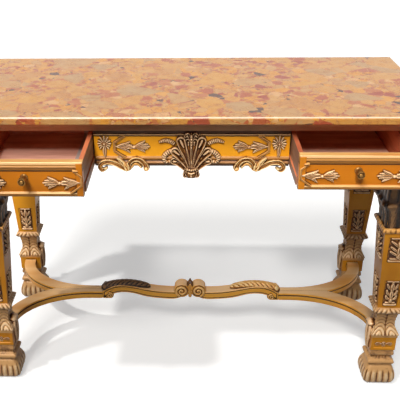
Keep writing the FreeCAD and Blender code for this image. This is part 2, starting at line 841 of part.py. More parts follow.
def knob_screw():
    """The machine screw that holds the knob from inside the drawer."""
    inside = frieze_y + drawer_front_thick
    shank_start = frieze_y + field_sink - 10.0
    shank = Part.makeCylinder(screw_diameter / 2, inside - shank_start,
                              Vector(drawer_middle, shank_start, knob_z), Vector(0, 1, 0))
    head = Part.makeCylinder(screw_head_diameter / 2, screw_head_height,
                             Vector(drawer_middle, inside, knob_z), Vector(0, 1, 0))
    return shank.fuse(head)


def end_ornaments(end_x, inward, y_back, front):
    """The bent strap and the leaf spray at one end of a drawer's front."""
    upright = end_x + inward * corner_strap_set
    line = [
        (end_x + inward * corner_head_set, drawer_spray_z + corner_head_rise),
        (upright, drawer_spray_z + corner_shoulder_rise),
        (upright, drawer_spray_z - corner_knee_drop),
        (end_x + inward * corner_tail_set, drawer_spray_z - corner_tail_drop),
    ]
    root = end_x + inward * drawer_spray_set
    leaves = spray(root, root + inward * drawer_spray_length, drawer_spray_z, y_back)
    return [seated(strap(line, y_back, corner_strap_width), [front]), leaves]


def add_drawer(name, side, opening):
    """One drawer, built shut on the right and then set open on its own side."""
    front_back = frieze_y + drawer_front_thick
    back_y = frieze_y + drawer_depth
    field = frieze_y + field_sink
    screw = knob_screw()
    bore = Part.makeCylinder(screw_diameter / 2 + fit_gap, 14.0,
                             Vector(drawer_middle, field - 11.0, knob_z), Vector(0, 1, 0))
    shut_front = drawer_front(screw_diameter / 2 + fit_gap)
    ornaments = end_ornaments(drawer_inner, 1, field, shut_front)
    ornaments += end_ornaments(drawer_outer, -1, field, shut_front)
    bottom = box((drawer_inner + drawer_side_thick - drawer_groove + fit_gap, front_back,
                  box_foot + drawer_bottom_lift + fit_gap),
                 (drawer_outer - drawer_side_thick + drawer_groove - fit_gap, back_y, floor_z))
    back = box((drawer_inner + drawer_side_thick, back_y - drawer_side_thick, floor_z),
               (drawer_outer - drawer_side_thick, back_y, drawer_top - drawer_back_drop))
    parts = {
        "front": [shut_front],
        "inner_side": [drawer_side(drawer_inner, 1)],
        "outer_side": [drawer_side(drawer_outer, -1)],
        "back": [back],
        "bottom": [bottom],
        "carving": ornaments,
        "knob": [knob().cut(bore)],
        "knob_screw": [screw],
    }
    for part_name, shapes in parts.items():
        placed = [moved(in_quarter(shape, side, 1), 0, -opening, 0) for shape in shapes]
        add(name + "_drawer_" + part_name, *placed)


# ---------------------------------------------------------------- stretcher
def arm_dowel(radius):
    """The pin between a leg's block and its arm, at the right front corner."""
    joint_y = -(leg_y - block_half)
    return Part.makeCylinder(radius, dowel_length, Vector(leg_x - arm_inset, joint_y - dowel_length / 2,
                                                          stretcher_mid), Vector(0, 1, 0))


def trunk_dowel(radius):
    """The pin between an arm and the beam, at the right front."""
    return Part.makeCylinder(radius, dowel_length, Vector(beam_half - dowel_length / 2, -trunk_half / 2,
                                                          stretcher_mid), Vector(1, 0, 0))


def arm():
    """Right front arm: a quarter oval board from the leg to the middle line."""
    start_y = leg_y - block_half
    sweep_y = start_y - 5.3
    centre_x = leg_x - arm_inset - arm_sweep_x
    half = arm_width / 2

    def oval(reach_x, reach_y, turn):
        return (centre_x + reach_x * math.cos(turn), -(sweep_y - reach_y * math.sin(turn)))

    outer_x, outer_y = arm_sweep_x - half, sweep_y - trunk_half
    inner_x, inner_y = arm_sweep_x + half, sweep_y + half + crotch_extra
    crotch = math.asin(sweep_y / inner_y)
    turns = [math.radians(angle) for angle in (0, 18, 36, 54, 72, 90)]
    outside = [oval(outer_x, outer_y, turn) for turn in turns]
    inside = [oval(inner_x, inner_y, crotch * (1 - number / 5)) for number in range(6)]
    inside[0] = (inside[0][0], 0.0)
    foot_left = (outside[0][0], -start_y)
    foot_right = (inside[-1][0], -start_y)
    steps = [
        [outside[0]],
        outside[1:],
        [(beam_half, -trunk_half)],
        [(beam_half, 0.0)],
        [inside[0]],
        inside[1:],
        [foot_right],
    ]
    board_solid = plate_xy(foot_left, steps, stretcher_foot, stretcher_top)
    holes = [arm_dowel(dowel_diameter / 2 + fit_gap), trunk_dowel(dowel_diameter / 2 + fit_gap)]
    return board_solid.cut(holes)


def along_beam(share):
    """X at a share of the way from the volute's centre to the beam's outer end."""
    return volute_centre + share * (beam_half - volute_centre)


def beam():
    """Right half of the serpentine beam, with a small scroll outside and a volute inside."""
    crest = stretcher_top + beam_rise
    top = [
        (beam_half, stretcher_top),
        (along_beam(0.946), stretcher_top + 9.0),
        (along_beam(0.865), crest - 4.5),
        (along_beam(0.737), crest),
        (along_beam(0.594), crest - 5.0),
        (along_beam(0.397), crest - 16.0),
        (along_beam(0.232), stretcher_top + 2.5),
        (along_beam(0.054), stretcher_top + 2.0),
    ]
    scroll_x = beam_half - foot_scroll_set
    scroll_z = stretcher_foot + foot_scroll_radius
    volute_z = stretcher_mid + volute_lift
    hollow = crest - beam_foot_thick
    under = [
        (along_beam(0.008), stretcher_foot + 8.0),
        (along_beam(0.077), stretcher_foot + 1.2),
        (along_beam(0.186), stretcher_foot + 0.6),
        (along_beam(0.286), stretcher_foot + 2.5),
        (along_beam(0.482), hollow - 12.5),
        (along_beam(0.602), hollow - 3.0),
        (along_beam(0.737), hollow + 1.0),
        (scroll_x - foot_scroll_radius + 1.0, scroll_z + 4.0),
    ]
    start = (beam_half, stretcher_foot)
    steps = [
        [top[0]],
        top[1:],
        [under[0]],
        under[1:],
        [(scroll_x, stretcher_foot)],
    ]
    body = plate_xz(start, steps, -trunk_half, trunk_half, beam_runs)
    volute = Part.makeCylinder(volute_radius, 2 * trunk_half, Vector(volute_centre, -trunk_half, volute_z),
                               Vector(0, 1, 0))
    scroll = Part.makeCylinder(foot_scroll_radius, 2 * trunk_half,
                               Vector(scroll_x, -trunk_half, scroll_z), Vector(0, 1, 0))
    solid = body.fuse([volute, scroll]).removeSplitter()
    hole = trunk_dowel(dowel_diameter / 2 + fit_gap)
    return solid.cut([hole, in_quarter(hole, 1, -1)])


def beam_collar():
    """The carved clasp between the two volutes, hollowed to fit them."""
    volute_z = stretcher_mid + volute_lift
    clasp = box((-collar_width / 2, -trunk_half, volute_z - volute_radius - 3.0),
                (collar_width / 2, trunk_half, volute_z + volute_radius + 3.0))
    cutters = []
    for side in (-1, 1):
        cutters.append(Part.makeCylinder(volute_radius, 4 * trunk_half,
                                         Vector(side * volute_centre, -2 * trunk_half, volute_z),
                                         Vector(0, 1, 0)))
    return clasp.cut(cutters)


def beam_leaf(body):
    """The acanthus leaf that lies along the beam's crest."""
    crest = stretcher_top + beam_rise
    upper = [
        (leaf_foot_x + 12.0, crest - 2.0),
        (leaf_foot_x + 38.0, crest + leaf_thick - 6.0),
        (leaf_foot_x + 79.0, crest + leaf_thick),
        (leaf_head_x - 29.0, crest + leaf_thick - 3.0),
        (leaf_head_x - 9.0, crest - 3.0),
        (leaf_head_x, stretcher_top + 8.0),
    ]
    start = (leaf_foot_x, crest - 13.0)
    steps = [upper, [(leaf_head_x, stretcher_top)], [(leaf_foot_x, stretcher_top)]]
    blank = plate_xz(start, steps, -beam_leaf_half, beam_leaf_half, leaf_runs)
    ridge = [edge for edge in blank.Edges if edge.BoundBox.YLength < 1 and edge.BoundBox.ZMin > crest - 14.0]
    blank = blank.makeChamfer(leaf_chamfer, ridge)
    trunk_room = box((beam_half, -60, 0), (leaf_head_x + 60, 60, stretcher_top))
    leaf = blank.cut([body, trunk_room])
    return max(leaf.Solids, key=lambda solid: solid.Volume)


def add_stretcher():
    right_arm = arm()
    right_beam = beam()
    right_leaf = beam_leaf(right_beam)
    for end_name, end in (("front", 1), ("back", -1)):
        for side_name, side in (("left", -1), ("right", 1)):
            add("stretcher_arm_" + end_name + "_" + side_name, in_quarter(right_arm, side, end))
    for side_name, side in (("left", -1), ("right", 1)):
        add("stretcher_beam_" + side_name, in_quarter(right_beam, side, 1))
        add("stretcher_leaf_" + side_name, in_quarter(right_leaf, side, 1))
    add("stretcher_collar", beam_collar())
    pins = []
    for side in (-1, 1):
        for end in (-1, 1):
            pins.append(in_quarter(arm_dowel(dowel_diameter / 2), side, end))
            pins.append(in_quarter(trunk_dowel(dowel_diameter / 2), side, end))
    add("stretcher_dowels", *pins)


# ---------------------------------------------------------------- build and write
add("marble_top", marble_top())
add_legs()
add_frieze_carving(add_case())
add_drawer("left", -1, left_opening)
add_drawer("right", 1, right_opening)
add_stretcher()

os.makedirs("parts", exist_ok=True)
for node_name, solids in nodes.items():
    node_shape = solids[0] if len(solids) == 1 else Part.makeCompound(solids)
    placed = moved(node_shape, 0, origin_shift, 0)
    placed.exportStep("parts/" + node_name + ".step")
    print(node_name, len(solids), "solids", round(placed.Volume / 1000.0, 2), "cm3", placed.isValid())
print(len(nodes), "nodes")
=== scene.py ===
import math

import bpy
import numpy as np
from mathutils import Matrix, Vector


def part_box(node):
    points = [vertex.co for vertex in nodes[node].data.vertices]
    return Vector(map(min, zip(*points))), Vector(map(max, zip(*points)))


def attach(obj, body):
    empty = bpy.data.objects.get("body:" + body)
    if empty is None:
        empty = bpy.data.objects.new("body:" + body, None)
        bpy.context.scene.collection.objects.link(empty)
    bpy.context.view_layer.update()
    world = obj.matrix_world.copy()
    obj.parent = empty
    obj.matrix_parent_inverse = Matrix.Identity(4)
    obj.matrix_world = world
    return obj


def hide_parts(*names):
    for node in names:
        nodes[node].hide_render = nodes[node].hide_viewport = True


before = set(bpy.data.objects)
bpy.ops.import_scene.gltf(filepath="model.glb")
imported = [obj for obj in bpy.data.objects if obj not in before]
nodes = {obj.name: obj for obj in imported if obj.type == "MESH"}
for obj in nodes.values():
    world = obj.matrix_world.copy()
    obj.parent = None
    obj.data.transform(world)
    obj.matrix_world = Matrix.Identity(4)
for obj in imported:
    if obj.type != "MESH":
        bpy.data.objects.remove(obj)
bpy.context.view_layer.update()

# The looks of a carved and gilded pier table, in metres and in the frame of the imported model.
# Carvings are drawn in millimetres.

MM = 0.001
CORNERS = [end + "_" + side for end in ("front", "back") for side in ("left", "right")]
SIDES = ("left", "right")
RIGHT, UP, FRONT = (1, 0, 0), (0, 0, 1), (0, -1, 0)


# ---- materials
def linear(colour):
    """The linear values that a shader takes for a colour written as #rrggbb."""
    parts = [int(colour[place:place + 2], 16) / 255 for place in (1, 3, 5)]
    return tuple(c / 12.92 if c <= 0.04045 else ((c + 0.055) / 1.055) ** 2.4
                 for c in parts) + (1,)


class Nodes:
    """Short forms for building a node tree."""

    def __init__(self, tree):
        self.tree = tree

    def join(self, value, socket):
        """Link a node's output to a socket, or set a plain value."""
        if isinstance(value, bpy.types.NodeSocket):
            self.tree.links.new(value, socket)
        else:
            socket.default_value = value

    def node(self, kind, sockets=None, **settings):
        made = self.tree.nodes.new("ShaderNode" + kind)
        for name, value in settings.items():
            setattr(made, name, value)
        for name, value in (sockets or {}).items():
            self.join(value, made.inputs[name])
        return made

    def math(self, operation, first, second=0):
        return self.node("Math", {0: first, 1: second}, operation=operation).outputs[0]

    def seen(self):
        """1 for rays from the camera, a shiny surface or glass, and 0 for others."""
        rays = self.node("LightPath").outputs
        seen = self.math("MAXIMUM", rays["Is Camera Ray"], rays["Is Glossy Ray"])
        return self.math("MAXIMUM", seen, rays["Is Transmission Ray"])


class Finish(Nodes):
    """A procedural material."""

    def __init__(self, name, **settings):
        self.material = bpy.data.materials.new(name)
        self.material.use_nodes = True
        super().__init__(self.material.node_tree)
        self.shader = self.tree.nodes["Principled BSDF"]
        for socket, value in settings.items():
            self.shader.inputs[socket.replace("_", " ")].default_value = value
        self.place = self.node("TexCoord").outputs["Object"]

    def noise(self, scale, detail=3, roughness=0.55, vector=None, output=0):
        sockets = {"Vector": vector or self.place, "Scale": scale, "Detail": detail,
                   "Roughness": roughness}
        return self.node("TexNoise", sockets).outputs[output]

    def vector(self, operation, sockets):
        return self.node("VectorMath", sockets, operation=operation).outputs[0]

    def axis(self, vector, name):
        return self.node("SeparateXYZ", {0: vector}).outputs[name]

    def facing(self):
        """How far a surface looks up, 1 for a level top."""
        return self.axis(self.node("NewGeometry").outputs["Normal"], "Z")

    def stretched(self, scale):
        """Places scaled along each axis, for streaks and grain."""
        return self.node("Mapping", {"Vector": self.place, "Scale": scale}).outputs[0]

    def warped(self, *layers):
        """Places shifted by soft noise: each layer is (noise scale, shift in metres)."""
        here = self.place
        for scale, shift in layers:
            noise = self.noise(scale, 2, vector=here, output="Color")
            centred = self.vector("SUBTRACT", {0: noise, 1: (0.5, 0.5, 0.5)})
            here = self.vector("ADD", {0: here, 1: self.vector("SCALE", {0: centred,
                                                                         "Scale": shift})})
        return here

    def ramp(self, factor, stops, step=False):
        """Colours by a factor: each stop is (place, colour)."""
        made = self.node("ValToRGB", {"Fac": factor})
        made.color_ramp.interpolation = "CONSTANT" if step else "LINEAR"
        elements = made.color_ramp.elements
        while len(elements) < len(stops):
            elements.new(1)
        for element, (place, colour) in zip(elements, stops):
            element.position = place
            element.color = linear(colour)
        return made.outputs["Color"]

    def between(self, value, low, high, out_low=0, out_high=1):
        """A value moved smoothly from one range to another."""
        sockets = {"Value": value, "From Min": low, "From Max": high, "To Min": out_low,
                   "To Max": out_high}
        return self.node("MapRange", sockets, interpolation_type="SMOOTHSTEP").outputs[0]

    def mix(self, factor, first, second, blend="MIX"):
        made = self.node("Mix", {0: factor}, data_type="RGBA", blend_type=blend)
        for index, value in ((6, first), (7, second)):
            self.join(linear(value) if isinstance(value, str) else value, made.inputs[index])
        return made.outputs[2]

    def over(self, colour, other, factor, low, high, out_low=0, out_high=1):
        """Another colour laid over one by a factor, as between reads it."""
        return self.mix(self.between(factor, low, high, out_low, out_high), colour, other)

    def crevice(self, distance):
        """How open the surface is, near 0 in a corner."""
        sockets = {"Distance": distance}
        return self.node("AmbientOcclusion", sockets, samples=8).outputs["AO"]

    def away(self, value, middle):
        return self.math("ABSOLUTE", self.math("SUBTRACT", value, middle))

    def finish(self, colour, noise, smooth, rough, height, strength):
        """Join the colour, a roughness from smooth to rough by a noise, and the bump."""
        sockets = {"Height": height, "Strength": strength, "Distance": BUMP_DEPTH}
        bump = self.node("Bump", sockets).outputs[0]
        roughness = self.between(noise, 0.3, 0.7, smooth, rough)
        for value, name in ((colour, "Base Color"), (roughness, "Roughness"), (bump, "Normal")):
            self.join(value, self.shader.inputs[name])
        return self.material


BUMP_DEPTH = 0.0005
MATRIX_RED = "#a86848"
VEIN_RED = "#a06042"
CLOUD_TONE = "#e8c48c"
WAX_TONE = "#e4caa8"
EDGE_PAINTED_HIGHLIGHT = "#ffecd6"
LARGE_CLASTS = [(0, "#deb870"), (0.3, "#d4b686"), (0.5, "#e2ba62"),
                (0.68, "#d6ac6c"), (0.86, "#ceb690")]
SMALL_CLASTS = [(0, "#e0b668"), (0.18, "#c47854"), (0.3, "#d8b888"),
                (0.44, "#e8b854"), (0.58, "#cc8c60"), (0.7, "#e0be80"),
                (0.82, "#b46048"), (0.91, "#eccea4"), (0.965, "#68504c")]
# Layers of clasts, fine to coarse: cell scale, share that shows, vein width, colours.
CLAST_LAYERS = [(150, 1, 0.03, SMALL_CLASTS), (62, 0.75, 0.03, SMALL_CLASTS),
                (30, 0.6, 0.026, SMALL_CLASTS), (15, 0.4, 0.022, LARGE_CLASTS),
                (7, 0.2, 0.016, LARGE_CLASTS)]


def breccia():
    """Polished breccia marble: angular clasts of five sizes in a tan ground, with a painted
    highlight on its rounded edges.
    """
    make = Finish("breccia_marble", IOR=1.5, Specular_IOR_Level=0.3)
    colour = None
    for scale, share, vein, colours in CLAST_LAYERS:
        place = make.warped((scale * 0.8, 0.35 / scale), (scale * 3, 0.08 / scale))
        sockets = {"Vector": place, "Scale": scale}
        cells = make.node("TexVoronoi", sockets).outputs["Color"]
        edge = make.node("TexVoronoi", sockets, feature="DISTANCE_TO_EDGE").outputs[0]
        parts = make.node("SeparateColor", {0: cells}).outputs
        clasts = make.ramp(parts[0], colours, step=True)
        if colour is None:
            colour = make.over(MATRIX_RED, clasts, edge, 0, vein * 2)
            continue
        shown = make.math("LESS_THAN", parts[1], share)
        inside = make.between(edge, vein, vein * 2.2)
        colour = make.mix(make.math("MULTIPLY", shown, inside), colour, clasts)
    clouds = make.noise(38, 5, 0.65)
    shade = make.between(clouds, 0.3, 0.7, 0, 0.4)
    colour = make.mix(shade, colour, CLOUD_TONE, "MULTIPLY")
    streaks = make.noise(9, 6, 0.7, make.warped((6, 0.09)))
    colour = make.over(colour, VEIN_RED, make.away(streaks, 0.5), 0, 0.014, 0.6, 0)
    colour = make.mix(1, colour, WAX_TONE, "MULTIPLY")
    # Faces that slope between level and upright, as on the rounded edges, get a painted highlight.
    facing = make.facing()
    edge = make.math("MULTIPLY", make.between(facing, 0.45, 0.7),
                     make.between(facing, 0.9, 0.98, 1, 0))
    colour = make.mix(make.math("MULTIPLY", edge, 0.6), colour, EDGE_PAINTED_HIGHLIGHT)
    return make.finish(colour, clouds, 0.2, 0.3, clouds, 0.04)


ALONG_X = (0.12, 1, 1)
ALONG_Y = (1, 0.12, 1)
ALONG_Z = (1, 1, 0.12)
# Dark glaze for random flecks, and painted shade in corners.
GLAZE_AND_SHADE = "#4a2814"
WHITE, BLACK = "#ffffff", "#000000"


def gilt(name, body, streak, grain=ALONG_X, upper=None, bands=None):
    """Old gilding on smooth wood: faint streaks along the grain, dark glaze in random flecks and
    painted shade in the corners.

    Upper is a paler colour painted on faces that look up, as painted light from above. Bands paint
    shade and highlights onto a moulding's steps by height: each is (height in millimetres where it
    starts, colour or None).
    """
    make = Finish(name, IOR=1.45, Metallic=0.06, Specular_IOR_Level=0.3)
    along = make.noise(9, 5, 0.6, make.stretched(grain))
    patches = make.noise(14, 4, 0.6)
    colour = make.over(body, streak, along, 0.35, 0.75)
    colour = make.over(colour, streak, patches, 0.5, 0.8, 0, 0.45)
    # Bands paint shade and highlights onto the mouldings by height.
    if bands:
        low, high = bands[0][0], bands[-1][0]
        sockets = {"Value": make.axis(make.place, "Z"), "From Min": low * MM,
                   "From Max": high * MM}
        share = make.node("MapRange", sockets).outputs[0]
        stops = [((z - low) / (high - low), shade) for z, shade in bands]
        shown = [(place, WHITE if shade else BLACK) for place, shade in stops]
        shades = [(place, shade or body) for place, shade in stops]
        colour = make.mix(make.ramp(share, shown, step=True), colour,
                          make.ramp(share, shades, step=True))
    if upper:
        # Faces that look up are painted paler, as painted light from above.
        painted_top_light = make.over(upper, streak, along, 0.3, 0.75)
        colour = make.over(colour, painted_top_light, make.facing(), 0.55, 0.8)
    colour = make.over(colour, GLAZE_AND_SHADE, make.noise(420, 2), 0.68, 0.78, 0, 0.4)
    # Ambient occlusion darkens corners with this colour as painted shade.
    colour = make.over(colour, GLAZE_AND_SHADE, make.crevice(0.009), 0.42, 0.8, 0.85, 0)
    return make.finish(colour, patches, 0.34, 0.5, along, 0.08)


def carved(name, high, body, deep):
    """Parcel gilt carving coloured by how open each point is: pale tops and brown hollows, partly
    the wear and glaze of old gilding and partly painted highlight and painted shade, with painted
    shade in the corners.
    """
    make = Finish(name, IOR=1.45, Metallic=0.08, Specular_IOR_Level=0.3)
    hollow = make.node("Attribute", attribute_name="open").outputs["Fac"]
    mottle = make.noise(55, 5, 0.65)
    level = make.math("ADD", hollow, make.between(mottle, 0.3, 0.7, -0.12, 0.12))
    # Raised tops take a painted highlight and hollows painted shade, over the gilding's wear.
    colour = make.ramp(level, [(0.28, deep), (0.48, body), (0.64, body), (0.88, high)])
    # Ambient occlusion darkens corners with the deep colour as painted shade.
    colour = make.over(colour, deep, make.crevice(0.012), 0.2, 0.62, 0.8, 0)
    colour = make.over(colour, body, make.noise(90), 0.55, 0.7, 0, 0.35)
    return make.finish(colour, mottle, 0.3, 0.5, make.noise(240), 0.12)


GREY_HALF = 0.0245
WEATHERED = "#baaaa2"


def timber(name, body, dark, grain=ALONG_X, grey_at=None):
    """Bare or stained wood with fine long grain. A weathered board may lie at grey_at on X."""
    make = Finish(name, IOR=1.45)
    place = make.stretched(grain)
    long_grain = make.noise(26, 6, 0.62, place)
    pores = make.noise(160, 3, 0.6, place)
    colour = make.over(body, dark, long_grain, 0.35, 0.68)
    colour = make.over(colour, dark, pores, 0.52, 0.7, 0, 0.4)
    colour = make.over(colour, dark, make.noise(7, 4), 0.4, 0.75, 0, 0.4)
    if grey_at:
        away = make.away(make.axis(make.place, "X"), grey_at)
        colour = make.mix(make.math("LESS_THAN", away, GREY_HALF), colour, WEATHERED)
    return make.finish(colour, long_grain, 0.5, 0.7, pores, 0.15)


def metal(name, body, dark, smooth):
    """Handled metal, darker in its grooves."""
    make = Finish(name, Metallic=0.9)
    tarnish = make.noise(180, 4, 0.6)
    colour = make.over(body, dark, tarnish, 0.35, 0.75)
    colour = make.over(colour, dark, make.crevice(0.004), 0.3, 0.75, 0.85, 0)
    return make.finish(colour, tarnish, smooth, smooth + 0.18, tarnish, 0.06)


# Painted light and shade for moulding steps: dark shade in recesses and under overhangs, a painted
# highlight on faces that look up, and half-shaded tones between.
RECESS_PAINTED_SHADE = "#543212"
HIGHLIGHT_LINE = "#f6c68a"
SOFT_LINE = "#c48c4a"
MOULD_LINE = "#ae7632"
DIM_LINE = "#9e682c"

MARBLE = breccia()
GILT_LEG = gilt("honey_gilding_upright", "#dc941e", "#c47818", ALONG_Z)
GILT_CASE = gilt("honey_gilding_long", "#e8a228", "#d6821a")
# The frieze's bands paint shade under the rail, under the bead and in the foot moulding, and a
# highlight on the bead.
GILT_FRIEZE = gilt("honey_gilding_frieze", "#ffb022", "#f09616", bands=[
    (694, RECESS_PAINTED_SHADE), (703, DIM_LINE), (708.5, RECESS_PAINTED_SHADE), (711.5, DIM_LINE), (716, MOULD_LINE),
    (722, None), (776.5, RECESS_PAINTED_SHADE), (779.5, HIGHLIGHT_LINE), (785, RECESS_PAINTED_SHADE), (795, None)])
# The drawer front's bands paint shade in its coves and highlights on its bevels; its top is
# painted paler as painted light.
GILT_FRONT = gilt("honey_gilding_front", "#d47e12", "#c06a0e", ALONG_X, "#fad68c", [
    (695, RECESS_PAINTED_SHADE), (697.5, DIM_LINE), (703.5, HIGHLIGHT_LINE), (707, None), (760.5, RECESS_PAINTED_SHADE),
    (764.5, DIM_LINE), (769.5, SOFT_LINE), (772.5, MOULD_LINE), (779, HIGHLIGHT_LINE),
    (792, None)])
GILT_FRONT_CORNER = gilt("honey_gilding_corner", "#de8c1e", "#ca7414", ALONG_Z)
# Its tops are painted paler, as painted light from above.
GILT_STRETCHER = gilt("honey_gilding_stretcher", "#fab448", "#e29636",
                      upper="#face96")
# Dark colour for sunk grooves, as painted shade.
GROOVE_SHADE = gilt("groove_painted_shade", "#542c12", "#3e200e")
CARVING = carved("parcel_gilt_carving", "#f4cc9e", "#a86e32", "#46240e")
STRAP_CARVING = carved("bronzed_straps", "#d69c58", "#925e2a", "#44240e")
VOLUTE_CARVING = carved("gilt_volutes", "#f6c47c", "#da983e", "#603614")
PALE_CARVING = carved("pale_gilt_carving", "#fada9e", "#e0a254", "#7a481a")
# Dark carving as painted shade, for the capitals and the left beam leaf.
SHADE_DARK_CARVING = carved("shade_dark_carving", "#8c6640", "#543a24", "#221810")
FOOT_CARVING = carved("parcel_gilt_feet", "#e8c498", "#c89862", "#683e22")
CASE_WOOD = timber("stained_case_wood", "#f0bc8e", "#c88e66")
DRAWER_SIDE_WOOD = timber("drawer_side_wood", "#b0866c", "#8c624e", ALONG_Y)
INNER_SIDE_WOOD = timber("drawer_lining_wood", "#d87e52", "#aa5636", ALONG_Y)
DRAWER_WOOD = timber("drawer_inside_wood", "#f6bea6", "#d0927c", grey_at=-0.286)
BRASS = metal("old_brass", "#a67c42", "#52361c", 0.36)
STEEL = metal("screw_steel", "#969694", "#545454", 0.35)


def dress(material, *names):
    """Give CAD nodes their material."""
    for name in names:
        slots = nodes[name].data.materials
        slots.clear()
        slots.append(material)


dress(MARBLE, "marble_top")
dress(CASE_WOOD, "front_top_rail", "glue_blocks", "stretcher_dowels")
dress(GILT_FRIEZE, "frieze_panel")
dress(GILT_CASE, "back_apron", "left_apron", "right_apron")
for corner in CORNERS:
    dress(GILT_LEG, "leg_shaft_" + corner)
for side in SIDES:
    dress(CASE_WOOD, side + "_divider", side + "_runners", side + "_drawer_stops",
          side + "_kickers")
    dress(GILT_FRONT, side + "_drawer_front")
    dress(DRAWER_SIDE_WOOD, side + "_drawer_inner_side", side + "_drawer_outer_side")
    dress(DRAWER_WOOD, side + "_drawer_back", side + "_drawer_bottom")
    dress(STEEL, side + "_drawer_knob_screw")


# ---- carving tools
LEAST_RADIUS = 0.3


def smooth_path(points, runs=8):
    """A soft curve through given points of (u, v, radius)."""
    points = np.array(points, float)
    ends = np.vstack([2 * points[0] - points[1], points, 2 * points[-1] - points[-2]])
    curve = [b + 0.5 * ((c - a) * t + (2 * a - 5 * b + 4 * c - d) * t * t
                        + (3 * b - a - 3 * c + d) * t ** 3)
             for a, b, c, d in zip(ends, ends[1:], ends[2:], ends[3:])
             for t in np.arange(runs) / runs]
    return np.maximum(curve + [points[-1]], (-np.inf, -np.inf, LEAST_RADIUS))


def softened(values, rounds):
    """Each value averaged with its neighbours, several times over."""
    for _ in range(rounds):
        edge = np.pad(values, 1, mode="edge")
        values = (values * 2 + edge[:-2, 1:-1] + edge[2:, 1:-1] + edge[1:-1, :-2]
                  + edge[1:-1, 2:]) / 6
    return values


class Relief:
    """A carving on a grid in u and v, raised from its ground by strokes."""

    def __init__(self, u_low, u_high, v_low, v_high, step):
        self.step = step
        self.u, self.v = np.meshgrid(np.arange(u_low, u_high + step, step),
                                     np.arange(v_low, v_high + step, step))
        self.height = np.zeros_like(self.u)
        self.inside = np.full_like(self.u, -50)

    def stroke(self, points, height, kind="round", count=1, rise=(1, 1)):
        """Raise a stroke along a curve. Kinds are those of profile; rise scales its two ends."""
        curve = smooth_path(points)
        path, radii = curve[:, 0] + 1j * curve[:, 1], curve[:, 2]
        steps = np.diff(path)
        lengths = np.abs(steps) + 1e-9
        passed = np.concatenate([[0], np.cumsum(lengths)])
        reach = radii.max() + 2 * self.step
        low, high = curve.min(axis=0) - reach, curve.max(axis=0) + reach
        near = (self.u > low[0]) & (self.u < high[0]) & (self.v > low[1]) & (self.v < high[1])
        away = (self.u + 1j * self.v)[near][:, None] - path[:-1]
        t = np.clip((away * steps.conj()).real / lengths ** 2, 0, 1)
        distance = np.abs(away - t * steps)
        radius = radii[:-1] + t * np.diff(radii)
        best = np.arange(len(t)), np.argmax(radius - distance, axis=1)
        distance, radius = distance[best], radius[best]
        share = (passed[best[1]] + t[best] * lengths[best[1]]) / passed[-1]
        raised = profile(kind, distance / radius, share, radius, count)
        raised *= height * np.interp(share, (0, 1), rise)
        raised[distance > radius] = 0
        self.height[near] = np.maximum(self.height[near], raised)
        self.inside[near] = np.maximum(self.inside[near], radius - distance)


def drawn(grid, strokes, pairs=()):
    """A relief from strokes, and from strokes that are mirrored in u."""
    relief = Relief(*grid)
    for stroke in strokes:
        relief.stroke(*stroke)
    for points, *rest in pairs:
        relief.stroke(points, *rest)
        relief.stroke([(-u, v, radius) for u, v, radius in points], *rest)
    return relief


def humps(turns):
    """Rounded humps from 0 to 1, one for each turn, with cusps between."""
    return np.abs(np.sin(np.pi * turns))


def profile(kind, q, share, radius, count):
    """The height across a stroke, for q from 0 at its middle to 1 at its edge."""
    q = np.clip(q, 0, 1)
    dome = np.sqrt(1 - q * q)
    if kind == "flat":
        return np.clip((1 - q) * radius / 1.5, 0, 1)
    if kind == "leaf":
        return dome * (1 - 0.4 * np.exp(-(q / 0.2) ** 2))
    if kind == "cup":
        return np.clip((1 - q) * 5, 0, 1) * (0.45 + 0.55 * bump(q, 0.76, 0.2))
    if kind == "flute":
        return np.clip((1 - q) * 6, 0, 1) * (0.22 + 0.78 * np.clip(q / 0.8, 0, 1) ** 2.2)
    if kind == "beads":
        along = 2 * ((share * count) % 1) - 1
        return dome * np.sqrt(np.clip(1.15 - along * along, 0, 1))
    if kind == "ribbed":
        ribs = humps(share * count - q * 1.2 + 0.5)
        return dome * (1 - 0.5 * np.clip(q * 2.2 - 0.6, 0, 1) * (1 - ribs))
    return dome


def bump(value, middle, width):
    """A smooth hill of height 1."""
    return np.exp(-((value - middle) / width) ** 2)


def snapped(relief, shown):
    """The grid's places, with the points just outside a stroke drawn in to its edge."""
    slope_v, slope_u = np.gradient(relief.inside, relief.step)
    steep = np.maximum(slope_u ** 2 + slope_v ** 2, 0.25)
    shift = np.where(shown, 0.0, np.clip(-relief.inside, 0, relief.step * 0.9)) / steep
    return relief.u + shift * slope_u, relief.v + shift * slope_v


def linked(name, data):
    made = bpy.data.objects.new(name, data)
    bpy.context.scene.collection.objects.link(made)
    return made


def set_in(name, mesh, body, replaced):
    """Put a piece on its body, in place of the CAD nodes that it shows."""
    piece = linked(name, mesh)
    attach(piece, body)
    if replaced:
        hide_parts(*replaced)


def ringed(rows, around):
    """Faces of a body made of rings of points: its two ends, then its bands."""
    ring = np.arange(around)
    after = (ring + 1) % around
    faces = [ring[::-1].tolist(), (ring + (rows - 1) * around).tolist()]
    for row in range(rows - 1):
        low, high = row * around, (row + 1) * around
        faces += np.stack([low + ring, low + after, high + after, high + ring], -1).tolist()
    return faces


